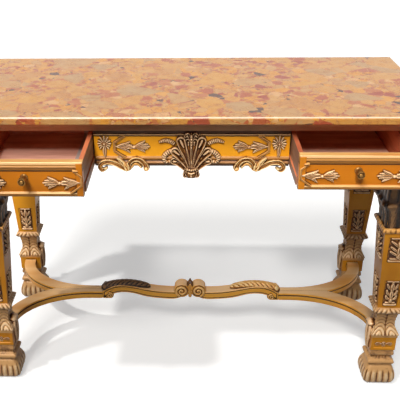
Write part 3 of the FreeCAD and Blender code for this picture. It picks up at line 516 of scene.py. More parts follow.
class Pile:
    """Gathers meshes for one piece and joins them into one object."""

    def __init__(self):
        self.points, self.faces, self.open, self.tints = [], [], [], []
        self.total = 0

    def add(self, points, faces, openness, tint=0):
        """Add a mesh. Tint is a material's index, or one for each face."""
        self.points.append(points)
        self.faces += [[corner + self.total for corner in face] for face in faces]
        self.tints += [tint] * len(faces) if np.isscalar(tint) else list(tint)
        self.open.append(openness)
        self.total += len(points)

    def relief(self, relief, origin, u_axis, v_axis, out_axis, ground=None, back=0):
        """A relief as a closed solid. Axes are unit vectors and origin is in metres."""
        shown = relief.inside > 0
        cell = shown[:-1, :-1] | shown[1:, :-1] | shown[:-1, 1:] | shown[1:, 1:]
        number = np.arange(shown.size).reshape(shown.shape)
        used, quads = np.unique(
            np.stack([number[:-1, :-1], number[:-1, 1:], number[1:, 1:], number[1:, :-1]],
                     -1)[cell], return_inverse=True)
        quads = quads.reshape(-1, 4)
        u, v = snapped(relief, shown)
        height = np.where(shown, relief.height, 0)
        low = ground(u, v) if ground else np.zeros_like(u)
        axes = np.array([u_axis, v_axis, out_axis], float)
        front, rear = (np.stack([u, v, level], -1).reshape(-1, 3)[used] * MM @ axes + origin
                       for level in (low + height, low - back))
        if np.linalg.det(axes) < 0:
            quads = quads[:, ::-1]
        sides = np.concatenate([quads[:, [a, (a + 1) % 4]] for a in range(4)])
        pairs = set(map(tuple, sides.tolist()))
        rim = sorted((a, b) for a, b in pairs if (b, a) not in pairs)
        count = len(front)
        faces = quads.tolist() + (quads[:, ::-1] + count).tolist()
        faces += [[b, a, a + count, b + count] for a, b in rim]
        spread = max(4, int(3 / relief.step))
        # How open a point is, from its height and how far it stands above its neighbours: the
        # carving turns this into a painted highlight on ridges and painted shade in hollows.
        curve = (height - softened(height, spread * 2)) / 2.2
        share = height / max(height.max(), 1e-6)
        openness = np.clip(0.34 + 0.3 * share + curve, 0, 1).ravel()[used]
        self.add(np.concatenate([front, rear]), faces, np.append(openness, np.full(count, 0.3)))

    def build(self, name, materials, replaced=(), body="table", sharp=None):
        mesh = bpy.data.meshes.new(name)
        mesh.from_pydata(np.concatenate(self.points).tolist(), [], self.faces)
        for material in materials:
            mesh.materials.append(material)
        mesh.polygons.foreach_set("material_index", np.array(self.tints, np.int32))
        mesh.polygons.foreach_set("use_smooth", [True] * len(mesh.polygons))
        values = mesh.attributes.new("open", "FLOAT", "POINT")
        values.data.foreach_set("value", np.concatenate(self.open).astype(np.float32))
        mesh.update()
        if sharp:
            mesh.set_sharp_from_angle(angle=math.radians(sharp))
        set_in(name, mesh, body, replaced)


def carve(name, material, reliefs, replaced=(), body="table"):
    """One piece made of reliefs, each given as Pile.relief takes it."""
    pile = Pile()
    for relief in reliefs:
        pile.relief(*relief)
    pile.build(name, [material], replaced, body)


# ---- the frieze's carving
panel_low, panel_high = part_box("frieze_panel")
shell_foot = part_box("shell_carving")[0].z
FIELD_SINK = 0.004
field_y = panel_low.y + FIELD_SINK


# Looped flutes on a beaded foot. Drawn from its foot, 127 high.
SHELL = drawn((-58, 58, -2, 130, 0.8), [
    ([(0, 12, 14), (0, 30, 19), (0, 70, 30)], 5),
    ([(0, 84, 14), (0, 108, 13)], 7),
    ([(0, 84, 3), (0, 104, 3.8), (0, 122, 3.4)], 18, "beads", 5),
    ([(0, 22, 13), (0, 9, 16)], 8),
    ([(-13, 25.5, 3.2), (0, 23, 3.6), (13, 25.5, 3.2)], 16.5, "beads", 5),
    ([(-7, 15, 3.4), (0, 13, 4.6), (7, 15, 3.4)], 14.5),
    ([(0, 7, 5), (0, 3, 3)], 12)], [
    ([(2, 27, 2.4), (4.5, 52, 4.6), (7.5, 84, 7.5), (9, 104, 8)], 14, "flute", 1, (0.7, 1)),
    ([(5, 28, 3.4), (12, 58, 7), (21, 84, 11), (27, 104, 13)], 16, "flute", 1, (0.6, 1)),
    ([(9, 27, 3.6), (20, 46, 7), (31, 61, 10), (42, 75, 13)], 15, "flute", 1, (0.6, 1)),
    ([(13, 20, 4.5), (24, 32, 7), (35, 42, 8.5), (45, 48, 10)], 12, "flute", 1, (0.7, 1)),
    ([(20, 88, 2.4), (25, 99, 4.6), (28, 107, 3.6)], 14),
    ([(32, 67, 2.6), (40, 73, 4.8), (45, 78, 4)], 13),
    ([(40, 47, 2.8), (46, 47, 4.2)], 11.5),
    ([(3, 106, 2.6), (6, 118, 3.6), (10, 122.5, 5.4), (15.5, 119, 4.2)], 16, "cup"),
    ([(10.5, 120, 2.2), (12.5, 119, 2.2)], 17),
    ([(7, 92, 2.4), (8, 104, 3.2)], 14, "beads", 2),
    ([(16, 24, 3), (16.5, 14, 4), (18, 6, 4.6), (13, 4, 3)], 12, "cup")])

# Ringed horns that run out from behind the shell. Drawn from the shell's foot.
HORN = drawn((38, 88, 30, 112, 0.7), [
    ([(44, 95, 5), (54, 101, 6), (68, 104, 5.6), (80, 101, 3.4), (84, 100, 2)], 10, "beads", 9),
    ([(46, 77, 5.5), (56, 73, 7), (66, 66, 7), (71, 57, 6.4), (69, 48, 5.4), (62, 43, 4)], 11,
     "beads", 9),
    ([(58, 45, 5), (66, 44, 5)], 8)])

# Cusped C scrolls, drawn inwards from the panel's end and up from its foot.
BRACKET = drawn((4, 148, -16, 34, 0.8), [
    ([(26, 10, 7), (46, 10, 7), (84, 4, 9)], 6),
    ([(104, 12, 6), (128, 10, 8)], 6),
    ([(27, -6, 4), (19, -9, 5.5), (13, 0, 6.5), (21, 11, 7), (34, 14.5, 7), (50, 11, 7),
      (64, 4, 7.5), (80, -4, 8)], 12, "cup"),
    ([(27, -6, 4.6), (30, -4, 4.2)], 13.5),
    ([(60, 24.5, 2.4), (68, 17, 5), (78, 4, 7.5), (87, -5, 8.5)], 13.5, "leaf"),
    ([(76, 10, 2), (80, -2, 4), (84, -10, 3)], 14.5),
    ([(86, 10, 2), (89, 0, 4), (90, -8, 3)], 14.5),
    ([(93, -3, 5), (91, 8, 5.5), (98, 18, 6), (111, 22.5, 6), (123, 18, 6), (132, 8, 7),
      (136, -3, 9)], 13.5, "cup"),
    ([(98, -2, 3), (101, 5, 5), (108, 9, 6), (116, 5, 4.4), (121, 0, 3.4)], 10),
    ([(121, 2, 3), (122, -1, 3.8)], 13),
    ([(135, -5.5, 6.5), (136, -5.5, 6.5)], 13.5)])

# Eleven rayed leaves round a hub, over a bud. Drawn about its hub.
PALMETTE = drawn((-21, 21, -38, 26, 0.7), [
    ([(0, -4, 2.2), (0, -15, 5.4), (0, -25, 5), (1, -36, 0.9)], 7.5, "leaf"),
    ([(0, 0, 3.4), (0, 1, 3.4)], 8.5)], [
    ([(length * share * math.sin(turn), length * share * math.cos(turn), width)
      for share, width in ((0.12, 1.3), (0.5, 2), (0.82, 2.4), (1, 0.9))],
     6.5, "round", 1, (0.8, 1))
    for turn, length in zip(np.radians((0, 28, 56, 84, 112, 138)), (23.6, 22.5, 20, 18, 17, 19))])

# Two fleurons end to end, from a split root at 0 to a pointed tip at 90.
SPRAY = drawn((-3, 92, -21, 19, 0.7), [
    ([(0, 0, 1.4), (12, 0, 3.8), (30, -1, 5), (48, -2, 3.4)], 7, "leaf"),
    ([(48, -2, 3.6), (60, -1, 6.2), (76, -1, 5), (90, 0, 0.9)], 7.5, "leaf"),
    ([(49, -2, 4.8), (50, -2, 4.8)], 8)] + [
    stroke for way, tip in ((1, 13), (-1, -17)) for stroke in (
        ([(5, way, 1.4), (16, way * 4, 3.6), (28, tip * 0.55, 4), (38, tip, 1.2)], 7, "leaf"),
        ([(26, tip * 0.5, 1.6), (34, way * 4, 2.8), (43, way * 4, 1.2)], 7.5),
        ([(54, way * 2, 1.8), (62, way * 6, 4), (71, way * 10, 3.6), (77, way * 15, 1)],
         7.5, "leaf"),
        ([(68, way * 3, 1.6), (76, way * 5, 3.2), (85, way * 6, 1)], 7.5, "leaf"))])


def bent(corners, widths, height):
    """The strokes of a flat strap, with its radii at ends and middles."""
    strokes = []
    for start, end in zip(corners, corners[1:]):
        middle = tuple((a + b) / 2 for a, b in zip(start, end))
        places = zip((start, middle, end), widths)
        strokes.append(([place + (width,) for place, width in places], height, "flat"))
    return strokes


FRIEZE_STRAP = drawn((45, 92, 18, 92, 0.7), [
    ([(65, 84.5, 2.2), (72, 86.5, 2.8), (79, 85, 3.4)], 6, "flat"),
    *bent([(79, 84.5), (53.5, 67), (53.5, 43), (82, 24)], (4.2, 3.8, 4.2), 5.5)])
DRAWER_STRAP = drawn((0, 34, 5, 74, 0.7), [
    ([(12, 68, 2.4), (20, 69, 4.2), (21, 68, 4.2)], 8),
    *bent([(20, 67), (4.2, 54), (4.2, 30), (29, 11)], (3.6, 3.4, 3.8), 6.5)])
DRAWER_PLATE = drawn((0, 16, 2, 86, 1.0), [([(8, -10, 9), (8, 98, 9)], 4.15, "flat")])


def add_pair(name, relief, x, z, way, node, material=CARVING):
    """A relief on the frieze at x, drawn outwards where way is 1, and its mirror image."""
    carve(name, material, [(relief, (side * x, field_y, z), (side * way, 0, 0), UP, FRONT)
                           for side in (1, -1)], [node])


end, foot = panel_high.x, panel_low.z
carve("shell", CARVING, [(SHELL, (0, field_y, shell_foot), RIGHT, UP, FRONT)], ["shell_carving"])
add_pair("shell_horns", HORN, 0, shell_foot, 1, "frieze_horns")
add_pair("frieze_scrolls", BRACKET, end, foot, -1, "frieze_brackets", PALE_CARVING)
add_pair("palmettes", PALMETTE, end - 27 * MM, foot + 63 * MM, -1, "frieze_palmettes")
add_pair("sprays", SPRAY, end - 56 * MM, foot + 56.5 * MM, -1, "frieze_sprays")
add_pair("straps", FRIEZE_STRAP, end, foot, -1, "frieze_straps", STRAP_CARVING)


# ---- the drawers
# The knob's outline from its foot, as shares of its radius and of its reach.
KNOB_SIDES = 40
KNOB_ROWS = [
    (0.92, 0), (0.92, 0.06), (0.74, 0.12), (0.72, 0.22), (0.84, 0.34), (0.94, 0.5),
    (0.99, 0.64), (1, 0.76), (0.97, 0.9), (0.88, 0.97), (0.76, 0.96), (0.68, 0.9),
    (0.58, 0.88), (0.5, 0.91), (0.4, 0.97), (0.24, 1), (0.10, 1)]


def add_knob(side):
    """A turned, ringed knob."""
    node = side + "_drawer_knob"
    low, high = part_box(node)
    radius, reach = (high.x - low.x) / 2, high.y - low.y
    middle = (low + high) / 2
    turn = np.arange(KNOB_SIDES) * 2 * np.pi / KNOB_SIDES
    points = [np.stack([middle.x + radius * wide * np.cos(turn),
                        np.full(KNOB_SIDES, high.y - reach * far),
                        middle.z + radius * wide * np.sin(turn)], -1) for wide, far in KNOB_ROWS]
    pile = Pile()
    pile.add(np.concatenate(points), ringed(len(KNOB_ROWS), KNOB_SIDES),
             np.full(KNOB_SIDES * len(KNOB_ROWS), 0.6))
    pile.build(side + "_knob", [BRASS], [node], side + "_drawer", 35)


LOWER_FROM, LOWER_BY = 0.765, 0.006


def add_lowered(side):
    """The drawer's front and sides with their upper edge set to the frieze's bead."""
    front_low, front_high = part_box(side + "_drawer_front")
    middle = (front_low.x + front_high.x) / 2
    for name in ("front", "inner_side", "outer_side"):
        node = f"{side}_drawer_{name}"
        mesh = nodes[node].data.copy()
        for vertex in mesh.vertices:
            if vertex.co.z > LOWER_FROM:
                vertex.co.z -= LOWER_BY
        if name != "front":
            mesh.materials.append(INNER_SIDE_WOOD)
            for face in mesh.polygons:
                inside = face.normal.x * (middle - face.center.x) > 0.0001
                face.material_index = int(inside or face.normal.z > 0.5)
        set_in(side + "_" + name, mesh, side + "_drawer", [node])


def add_drawer_carving(side):
    """A spray, a bent strap and a plain plate at each end of a drawer's front."""
    low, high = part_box(side + "_drawer_front")
    for name, relief, x, z, material, replaced, slot in (
            ("corners", DRAWER_PLATE, 0, 0, GILT_FRONT_CORNER, [], "gilt_panel"),
            ("sprays", SPRAY, 7 * MM, 38 * MM, CARVING, [side + "_drawer_carving"],
             "gilt_carving"),
            ("straps", DRAWER_STRAP, 0, 0, STRAP_CARVING, [], "gilt_carving")):
        carve(f"{side}_drawer_{name}", material,
              [(relief, (end + way * x, low.y + FIELD_SINK, low.z + z), (way, 0, 0), UP, FRONT)
               for end, way in ((low.x, 1), (high.x, -1))], replaced, side + "_drawer")


for side in SIDES:
    add_drawer_carving(side)
    add_knob(side)
    add_lowered(side)


# ---- legs
def sampled(start, steps, pitch=1.6):
    """Points (half width, height) of an outline. A step is its end, or a way point and its end."""
    points = [start]
    for *way_point, end in steps:
        here, end = np.array(points[-1], float), np.array(end, float)
        middle = np.array(way_point[0]) if way_point else (here + end) / 2
        bend = 2 * middle - (here + end) / 2
        span = np.hypot(*(middle - here)) + np.hypot(*(end - middle))
        count = max(4 if way_point else 1, int(span / pitch))
        for t in np.arange(1, count + 1) / count:
            points.append((1 - t) ** 2 * here + 2 * t * (1 - t) * bend + t * t * end)
    return points


def square_carving(rows, columns, relief_at, corner_at, centre, mirror_x, mirror_y):
    """A closed carved piece of square section, as points, faces and how open each point is.

    relief_at(t, height, face) raises points, with t from -1 to 1 across a face and faces 0 to 3
    being front, outer, back and inner. corner_at(height) is how sharp the corners are.
    """
    t = np.linspace(-1, 1, columns + 1)[:-1]
    points, openness = [], []
    for half, height in rows:
        power = corner_at(height)
        pull = (1 + np.abs(t) ** power) ** (-1 / power)
        for face in range(4):
            raised = relief_at(t, height, face)
            x, y = t * (half + raised) * pull, -(half + raised) * pull
            for _ in range(face):
                x, y = -y, x
            points.append(np.stack([x, y, np.full_like(x, height)], -1))
            # How open a point is, from how far it stands out: the carving turns this into a
            # painted highlight on raised points and painted shade on sunk ones.
            mean = raised.mean()
            openness.append(np.clip(0.5 + (raised - mean) / 3.5 + mean / 14, 0.1, 1))
    faces = ringed(len(rows), 4 * columns)
    if mirror_x * mirror_y < 0:
        faces = [face[::-1] for face in faces]
    points = np.concatenate(points) * (mirror_x, mirror_y, 1)
    return points * MM + np.array(centre), faces, np.concatenate(openness)


# Heights of the leg's foot part in millimetres above the floor.
FOOT_TOP, TORUS_FOOT, SCOTIA_FOOT, FILLET_FOOT = 62, 66, 83, 110
BLOCK_FOOT, BLOCK_TOP, NECK_FOOT, LEAF_FOOT, SHAFT_FOOT = 119.6, 163.7, 172, 244, 266
BLOCK_HALF, BLOCK_FIELD, FIELD_MARGIN = 35.3, 27.5, 7
SHAFT_HALF_FOOT, SHAFT_HALF_TOP = 31.5, 45
BASE_ROWS = sampled((37, 0), [
    [(44.5, 19), (40, 50)], [(36, 58), (32.5, FOOT_TOP)], [(32.5, TORUS_FOOT)],
    [(38.5, 74.5), (34, SCOTIA_FOOT)], [(27, 89), (31, 97)],
    [(35.5, 102), (34.5, FILLET_FOOT)], [(33, FILLET_FOOT)], [(33, BLOCK_FOOT)],
    [(BLOCK_HALF, BLOCK_FOOT)], [(BLOCK_HALF, BLOCK_TOP)], [(37, BLOCK_TOP)],
    [(37, NECK_FOOT)], [(36, NECK_FOOT + 5)], [(25.5, 203), (31, LEAF_FOOT)],
    [(38, 255), (SHAFT_HALF_FOOT, SHAFT_FOOT)]])


def base_relief(t, height, face):
    """The carving of a leg's foot, torus, scotia, block and leaf neck."""
    side = np.abs(t)
    if height < FOOT_TOP:
        lobes = humps(2.5 * t + 0.5) ** 0.42
        swell = np.clip(height / 9, 0, 1) * np.clip((52 - height) / 12, 0, 1)
        return 4.6 * (lobes - 0.75) * swell + 1.6 * swell
    if SCOTIA_FOOT < height < FILLET_FOOT:
        return 1.4 * bump(height, 91, 4) * humps(3 * t + 0.5) - 0.8
    if BLOCK_FOOT < height < BLOCK_TOP and face < 2:
        level = BLOCK_FOOT + FIELD_MARGIN < height < BLOCK_TOP - FIELD_MARGIN
        return np.where((side * BLOCK_HALF < BLOCK_FIELD) & level, -1.8, 0)
    if NECK_FOOT < height < LEAF_FOOT:
        up = (height - NECK_FOOT) / (LEAF_FOOT - NECK_FOOT)
        reach = np.hypot((side - 0.52) * 34, (height - NECK_FOOT - 3) * 0.75)
        arches = humps(reach / 8.5) ** 0.6
        return (3.4 * arches * (1 - 0.6 * up) + 2 * bump(height, 186, 9)
                - 2.4 * bump(side, 0, 0.05) - 1)
    if height > LEAF_FOOT:
        up = (height - LEAF_FOOT) / (SHAFT_FOOT - LEAF_FOOT)
        return 3 * humps(3 * side + 0.8 * up) * math.sin(math.pi * min(up, 1))
    return np.zeros_like(t)


def base_corner(height):
    return 7 if height < FOOT_TOP else 26 if height < BLOCK_FOOT else 60


# Heights of the capital.
CAPITAL_FOOT, POST_FOOT = 513, 692
RING_TOP, BELL_TOP, NECK_TOP, ABACUS_FOOT = 530, 599, 668, 684
CAPITAL_CORNER = 30
CAPITAL_ROWS = sampled((47, CAPITAL_FOOT), [
    [(53.5, 521.5), (47.5, RING_TOP)], [(45, RING_TOP)], [(46, 562), (55, BELL_TOP - 4)],
    [(58, BELL_TOP + 2), (54, BELL_TOP + 9)], [(50, 612)],
    [(48, 640), (48, NECK_TOP)], [(49, 672), (54, 678)], [(55.5, ABACUS_FOOT)],
    [(55.5, POST_FOOT)]], 2)


def capital_relief(t, height, face):
    """The ring of gadroons, the flaring leaves with curled tips, and the leafy neck."""
    side = np.abs(t)
    if height < RING_TOP:
        return -2.4 * (1 - humps(4 * t + 0.5) ** 0.6) * bump(height, 521.5, 7)
    if height < BELL_TOP + 9:
        up = (height - RING_TOP) / (BELL_TOP - RING_TOP)
        leaves = humps(1.5 * t + 0.5)
        veins = humps(6 * np.abs(((1.5 * side + 0.5) % 1) - 0.5) - 3 * up)
        curl = bump(height, BELL_TOP - 1, 7) * leaves ** 0.5
        return (4.5 * leaves ** 0.6 * (0.4 + 0.6 * up) + 1.5 * leaves ** 24 + 1.6 * veins * leaves
                + 3 * curl - 3)
    if height < NECK_TOP:
        up = (height - BELL_TOP - 9) / 60
        return 3.5 * humps(2 * t) ** 0.7 * math.sin(math.pi * min(max(up, 0), 1)) ** 0.6
    if height < ABACUS_FOOT:
        return 1.2 * humps(5 * t + 0.5)
    return np.zeros_like(t)


def panel_carving(tall, half):
    """A chain of leafy knops on a stepped base, on a low ground that the carving's colours darken
    as painted shade.
    """
    middle, edge = tall * 0.46, half - 6
    return drawn((-half - 1, half + 1, 0, tall, 1.0), [
        ([(0, 0, half), (0, tall, half)], 0.6, "flat"),
        ([(-half + 5, 5, 4.2), (half - 5, 5, 4.2)], 7),
        ([(-half + 8, 12, 2.6), (half - 8, 12, 2.6)], 6),
        ([(0, 17, 5.5), (0, 21, 6.5), (0, 25, 4.5)], 9),
        ([(0, middle - 9, 4), (0, middle, 7.2), (0, middle + 9, 4.5)], 9.5, "leaf"),
        ([(0, middle + 12, 4), (0, tall - 21, 6.8), (0, tall - 12, 4)], 9.5, "leaf"),
        ([(0, tall - 9, 3.4), (0, tall - 5, 3.4)], 8),
        ([(-half + 5, tall - 3.5, 2), (half - 5, tall - 3.5, 2)], 5)], [
        ([(5, 25, 3.4), (11, 28, 4.4), (edge, 35, 3.2)], 8, "leaf"),
        ([(6, middle, 3.4), (11, middle + 4, 4.2), (edge, middle + 13, 3)], 8, "leaf"),
        ([(5, tall - 27, 3.2), (10, tall - 22, 4.2), (edge, tall - 13, 2.6)], 8, "leaf")])


# A ringed rosette between two leaf sprigs.
ROSETTE = drawn((-27, 27, -11, 11, 0.9), [
    ([(0, -0.5, 6.6), (0, 0.5, 6.6)], 2.4, "cup"),
    ([(0, 0, 2.6), (0, 0.2, 2.6)], 3.4),
    ([(-4, -8, 1.2), (4, -8, 1.2)], 2.2)], [
    ([(7, 0, 1.4), (14, 3, 2.2), (22, 4, 1.2)], 2.6, "leaf"),
    ([(7, 0, 1.4), (14, -3, 2.2), (22, -4, 1.2)], 2.6, "leaf"),
    ([(7, 0, 1.2), (16, 0, 1.8), (25, 0, 1)], 2.8, "leaf")])

# The curled leaf on a block's inner side, drawn up from the fillet.
CONSOLE_LEAF = drawn((-28, 28, -2, 96, 1.2), [
    ([(0, 4, 12), (0, 24, 19), (0, 60, 21), (0, 80, 16)], 7, "round", 1, (0.9, 1)),
    ([(0, 2, 3), (0, 44, 5), (0, 84, 4)], 12.5),
    ([(-12, 86, 6.5), (0, 88, 8), (12, 86, 6.5)], 16)], [
    ([(7, 3, 4), (13, 40, 6.5), (13, 66, 6.5), (9, 84, 4.5)], 12, "leaf")])


def console_ground(u, v):
    """The hollow face that the console leaf bends over."""
    return -4 * ((v - 45) / 45) ** 2 - 0.004 * u ** 2


# Name, CAD node, rows, columns, relief, corners, heights of the second material, materials and
# sharpness.
LEG_PARTS = (
    ("leg_foot_", "leg_base_", BASE_ROWS, 44, base_relief, base_corner,
     (BLOCK_FOOT - 0.1, BLOCK_TOP + 0.1), [FOOT_CARVING, GILT_LEG], 38),
    # The capital is dark as painted shade, with its ring in the pale carving.
    ("leg_crown_", "leg_capital_", CAPITAL_ROWS, 40, capital_relief, lambda height: CAPITAL_CORNER,
     (0, RING_TOP), [SHADE_DARK_CARVING, PALE_CARVING], 50))
BLOCK_FACE = 33.5 * MM
PANEL_SINK = 3
# The sunk panels of a shaft, with the height of each one's foot.
PANELS = ((273, panel_carving(87, 19.8)), (421, panel_carving(80, 27.8)))


def add_leg(corner):
    """One leg's carving: base, capital, sunk panels, block rosettes and console leaf."""
    way_x = 1 if "right" in corner else -1
    way_y = 1 if "front" in corner else -1
    low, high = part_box("leg_capital_" + corner)
    x, y = (low.x + high.x) / 2, (low.y + high.y) / 2
    for name, node, rows, columns, relief_at, corner_at, band, materials, sharp in LEG_PARTS:
        points, faces, openness = square_carving(rows, columns, relief_at, corner_at, (x, y, 0),
                                                 way_x, way_y)
        levels = points[:, 2] / MM
        tints = [int(band[0] < levels[face[0]] < band[1]) for face in faces]
        turned = Pile()
        turned.add(points, faces, openness, tints)
        turned.build(name + corner, materials, [node + corner], sharp=sharp)

    block_middle = (BLOCK_FOOT + BLOCK_TOP) / 2 * MM
    reliefs = [
        (ROSETTE, (x, y - way_y * BLOCK_FACE, block_middle), (way_x, 0, 0), UP, (0, -way_y, 0)),
        (ROSETTE, (x + way_x * BLOCK_FACE, y, block_middle), (0, way_y, 0), UP, (way_x, 0, 0)),
        (CONSOLE_LEAF, (x - way_x * BLOCK_FACE, y, FILLET_FOOT * MM), (0, 1, 0), UP,
         (-way_x, 0, 0), console_ground, 3)]
    lean = (SHAFT_HALF_TOP - SHAFT_HALF_FOOT) / (CAPITAL_FOOT - SHAFT_FOOT)
    length = math.hypot(1, lean)
    for foot, panel in PANELS:
        ground = (SHAFT_HALF_FOOT + lean * (foot - SHAFT_FOOT) - PANEL_SINK) * MM
        for out_x, out_y in ((0, -1), (1, 0), (0, 1), (-1, 0)):
            up = np.array([out_x * lean, out_y * lean, 1]) / length
            out = np.array([out_x, out_y, -lean]) / length
            reliefs.append((panel, (x + out_x * ground, y + out_y * ground, foot * MM),
                            (-out_y, out_x, 0), up, out, None, 0.5))
    carve("leg_ornament_" + corner, CARVING, reliefs)


for corner in CORNERS:
    add_leg(corner)


# ---- stretcher
def flat_outline(node, axis, level, tolerance=0.0002):
    """The outline of a node's flat faces that lie at a level along an axis, as 3-D points."""
    mesh = nodes[node].data
    keys = [tuple(round(part, 5) for part in vertex.co) for vertex in mesh.vertices]
    exact = {key: vertex.co for key, vertex in zip(keys, mesh.vertices)}
    edges = set()
    for face in mesh.polygons:
        corners = [keys[corner] for corner in face.vertices]
        if all(abs(exact[corner][axis] - level) < tolerance for corner in corners):
            edges.update(zip(corners, corners[1:] + corners[:1]))
    after = {a: b for a, b in edges if (b, a) not in edges}
    loop = [max(after, key=lambda corner: exact[corner].length)]
    while after[loop[-1]] != loop[0]:
        loop.append(after[loop[-1]])
    return np.array([exact[corner] for corner in loop], float)


def evened(loop, pitch):
    """An outline of complex numbers with extra points on its long runs."""
    points = []
    for here, there in zip(loop, np.roll(loop, -1)):
        count = max(1, int(abs(there - here) / pitch))
        points += [here + (there - here) * n / count for n in range(count)]
    return np.array(points)


def drawn_in(loop, inset):
    """A closed outline moved inwards, with mitred corners."""
    ahead = np.roll(loop, -1) - loop
    ahead /= np.abs(ahead)
    inwards = 1j * (ahead + np.roll(ahead, 1))
    length = np.abs(inwards)
    mitre = np.clip(2 / np.maximum(length, 0.7), 1, 1.5)
    return loop + inwards / np.maximum(length, 1e-6) * mitre * inset


PLATE_PITCH = 3 * MM


def add_plate(name, node, axis, first_rows, last_rows, sunk):
    """A CAD plate with moulded edges, from its top or front to its foot or back.

    Rows are (inset, depth below the nearer face) in millimetres. Sunk rows are in grooves and are
    coloured dark as painted shade.
    """
    low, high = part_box(node)
    first, last, way = (high[axis], low[axis], -1) if axis == 2 else (low[axis], high[axis], 1)
    rows = [(inset, first + way * depth * MM) for inset, depth in first_rows]
    rows += [(inset, last - way * depth * MM) for inset, depth in last_rows]
    keep = [number for number in range(3) if number != axis]
    flat = evened(flat_outline(node, axis, first)[:, keep] @ (1, 1j), PLATE_PITCH)
    if np.sum((flat.conj() * np.roll(flat, -1)).imag) < 0:
        flat = flat[::-1]
    deepest = max(inset for inset, _ in rows)
    points, openness = [], []
    for inset, level in rows:
        ring = np.full((len(flat), 3), level)
        edge = drawn_in(flat, inset * MM)
        ring[:, keep] = np.stack([edge.real, edge.imag], -1)
        points.append(ring)
        openness.append(np.full(len(flat), 0.9 - 0.5 * inset / deepest))
    faces = ringed(len(rows), len(flat))
    # Seen along Z the rows run downwards; along Y they run away, which mirrors them.
    if axis == 2:
        faces = [face[::-1] for face in faces]
    tints = [0, 0] + [int(row in sunk) for row in range(len(rows) - 1) for _ in flat]
    pile = Pile()
    pile.add(np.concatenate(points), faces, np.concatenate(openness), tints)
    pile.build(name, [GILT_STRETCHER, GROOVE_SHADE], [node], sharp=30)


def spiral(centre_u, centre_v, radius, turns, start, width):
    """Points of a spiral stroke from its outer end to its eye."""
    points = []
    for share in np.linspace(0, 1, int(turns * 10) + 1):
        turn = math.radians(start) + turns * 2 * math.pi * share
        reach = (radius - width) * (1 - share) + 2 * share
        points.append((centre_u + reach * math.cos(turn), centre_v + reach * math.sin(turn),
                       width * (1 - 0.45 * share)))
    return points


# An arm's edge over and under its groove, and half of a beam's section.
ARM_TOP_ROWS = [(1.6, 0), (0.4, 0.4), (0, 1.6), (0, 5.5), (3, 6), (3, 10),
                (0, 10.6)]
ARM_FOOT_ROWS = [(0, 5), (1.6, 3.6), (1.6, 0)]
BEAM_ROWS = [(6.6, 0.6), (6, 2.4), (3.8, 2.4), (3, 0.2), (1, 0), (0, 1.2)]
VOLUTE, VOLUTE_EYE, VOLUTE_RADIUS = (26.5, 163), (26.5, 163.5), 24
STRETCHER_FOOT, STRETCHER_TOP = 131.4, 157.4
SCROLL_X, SCROLL_RADIUS = 262, 13.1
LEAF_START, LEAF_LENGTH = 133, 157
CLASP_SINK = 3


BEAM_SCROLLS = drawn((0, 280, 125, 190, 1.0), [
    ([(*VOLUTE, 22), (*VOLUTE_EYE, 22)], 1.6),
    (spiral(*VOLUTE, VOLUTE_RADIUS, 1.7, -60, 5), 6),
    ([(*VOLUTE, 3.4), (*VOLUTE_EYE, 3.4)], 6),
    (spiral(SCROLL_X, STRETCHER_FOOT + SCROLL_RADIUS, SCROLL_RADIUS, 1.5, 90, 3.4), 4.5)])
BEAM_LEAF = drawn((-4, LEAF_LENGTH + 2, -20, 20, 1.0), [
    ([(4, 0, 8), (30, 0, 14), (110, 0, 18), (141, 0, 17)], 10.5, "ribbed", 9),
    ([(145, -12, 7), (147, 0, 8), (145, 12, 7)], 10)])


def add_beam(side):
    """A serpentine beam with its volute, foot scroll and ribbed leaf."""
    node, leaf_node = "stretcher_beam_" + side, "stretcher_leaf_" + side
    way = 1 if side == "right" else -1
    low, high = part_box(node)
    add_plate("beam_" + side, node, 1, BEAM_ROWS, BEAM_ROWS[::-1], (1, 9))
    carve("beam_scrolls_" + side, VOLUTE_CARVING,
          [(BEAM_SCROLLS, (0, face, 0), (way, 0, 0), UP, (0, out, 0), None, 1)
           for face, out in ((low.y, -1), (high.y, 1))])
    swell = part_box(leaf_node)[1].z / MM - STRETCHER_TOP - 11

    def leaf_ground(u, v):
        """The beam's swelling top, off which the leaf droops."""
        share = np.clip(u / LEAF_LENGTH, 0, 1)
        return (STRETCHER_TOP + swell * np.sin(np.pi * (0.12 + 0.80 * share)) ** 0.8
                - 0.012 * v ** 2)

    # The left leaf is dark as a painted shadow and the right one pale as painted light.
    carve("beam_leaf_" + side, SHADE_DARK_CARVING if side == "left" else PALE_CARVING,
          [(BEAM_LEAF, (way * LEAF_START * MM, (low.y + high.y) / 2, 0), (way, 0, 0), (0, 1, 0),
            UP, leaf_ground, 3)], [leaf_node])


def add_clasp():
    """The clasp between the volutes: two buds, tip to tip, on a beaded band."""
    low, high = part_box("stretcher_collar")
    wide, deep, tall = (high - low) / MM
    half = wide / 2
    clasp = drawn((-half - 1, half + 1, -1, tall + 1, 0.8), [
        ([(0, 2, 1.2), (0, tall * 0.18, half * 0.7), (0, tall * 0.4, 2.6)], 3.5, "leaf"),
        ([(0, tall * 0.5, 2.6), (0, tall * 0.76, half * 0.8), (0, tall - 3, 1.6)], 3.5, "leaf"),
        ([(-half * 0.6, tall * 0.45, 2.6), (half * 0.6, tall * 0.45, 2.6)], 4.5, "beads", 3),
        ([(0, tall - 3, 2.6), (0, tall - 2.6, 2.6)], 4.5)])
    carve("clasp", VOLUTE_CARVING,
          [(clasp, (0, level - out * CLASP_SINK * MM, low.z), RIGHT, UP, (0, out, 0), None,
            deep / 2 - CLASP_SINK) for level, out in ((low.y, -1), (high.y, 1))],
          ["stretcher_collar"])


for corner in CORNERS:
    add_plate("arm_" + corner, "stretcher_arm_" + corner, 2, ARM_TOP_ROWS, ARM_FOOT_ROWS, (3, 4))
for side in SIDES:
    add_beam(side)
add_clasp()


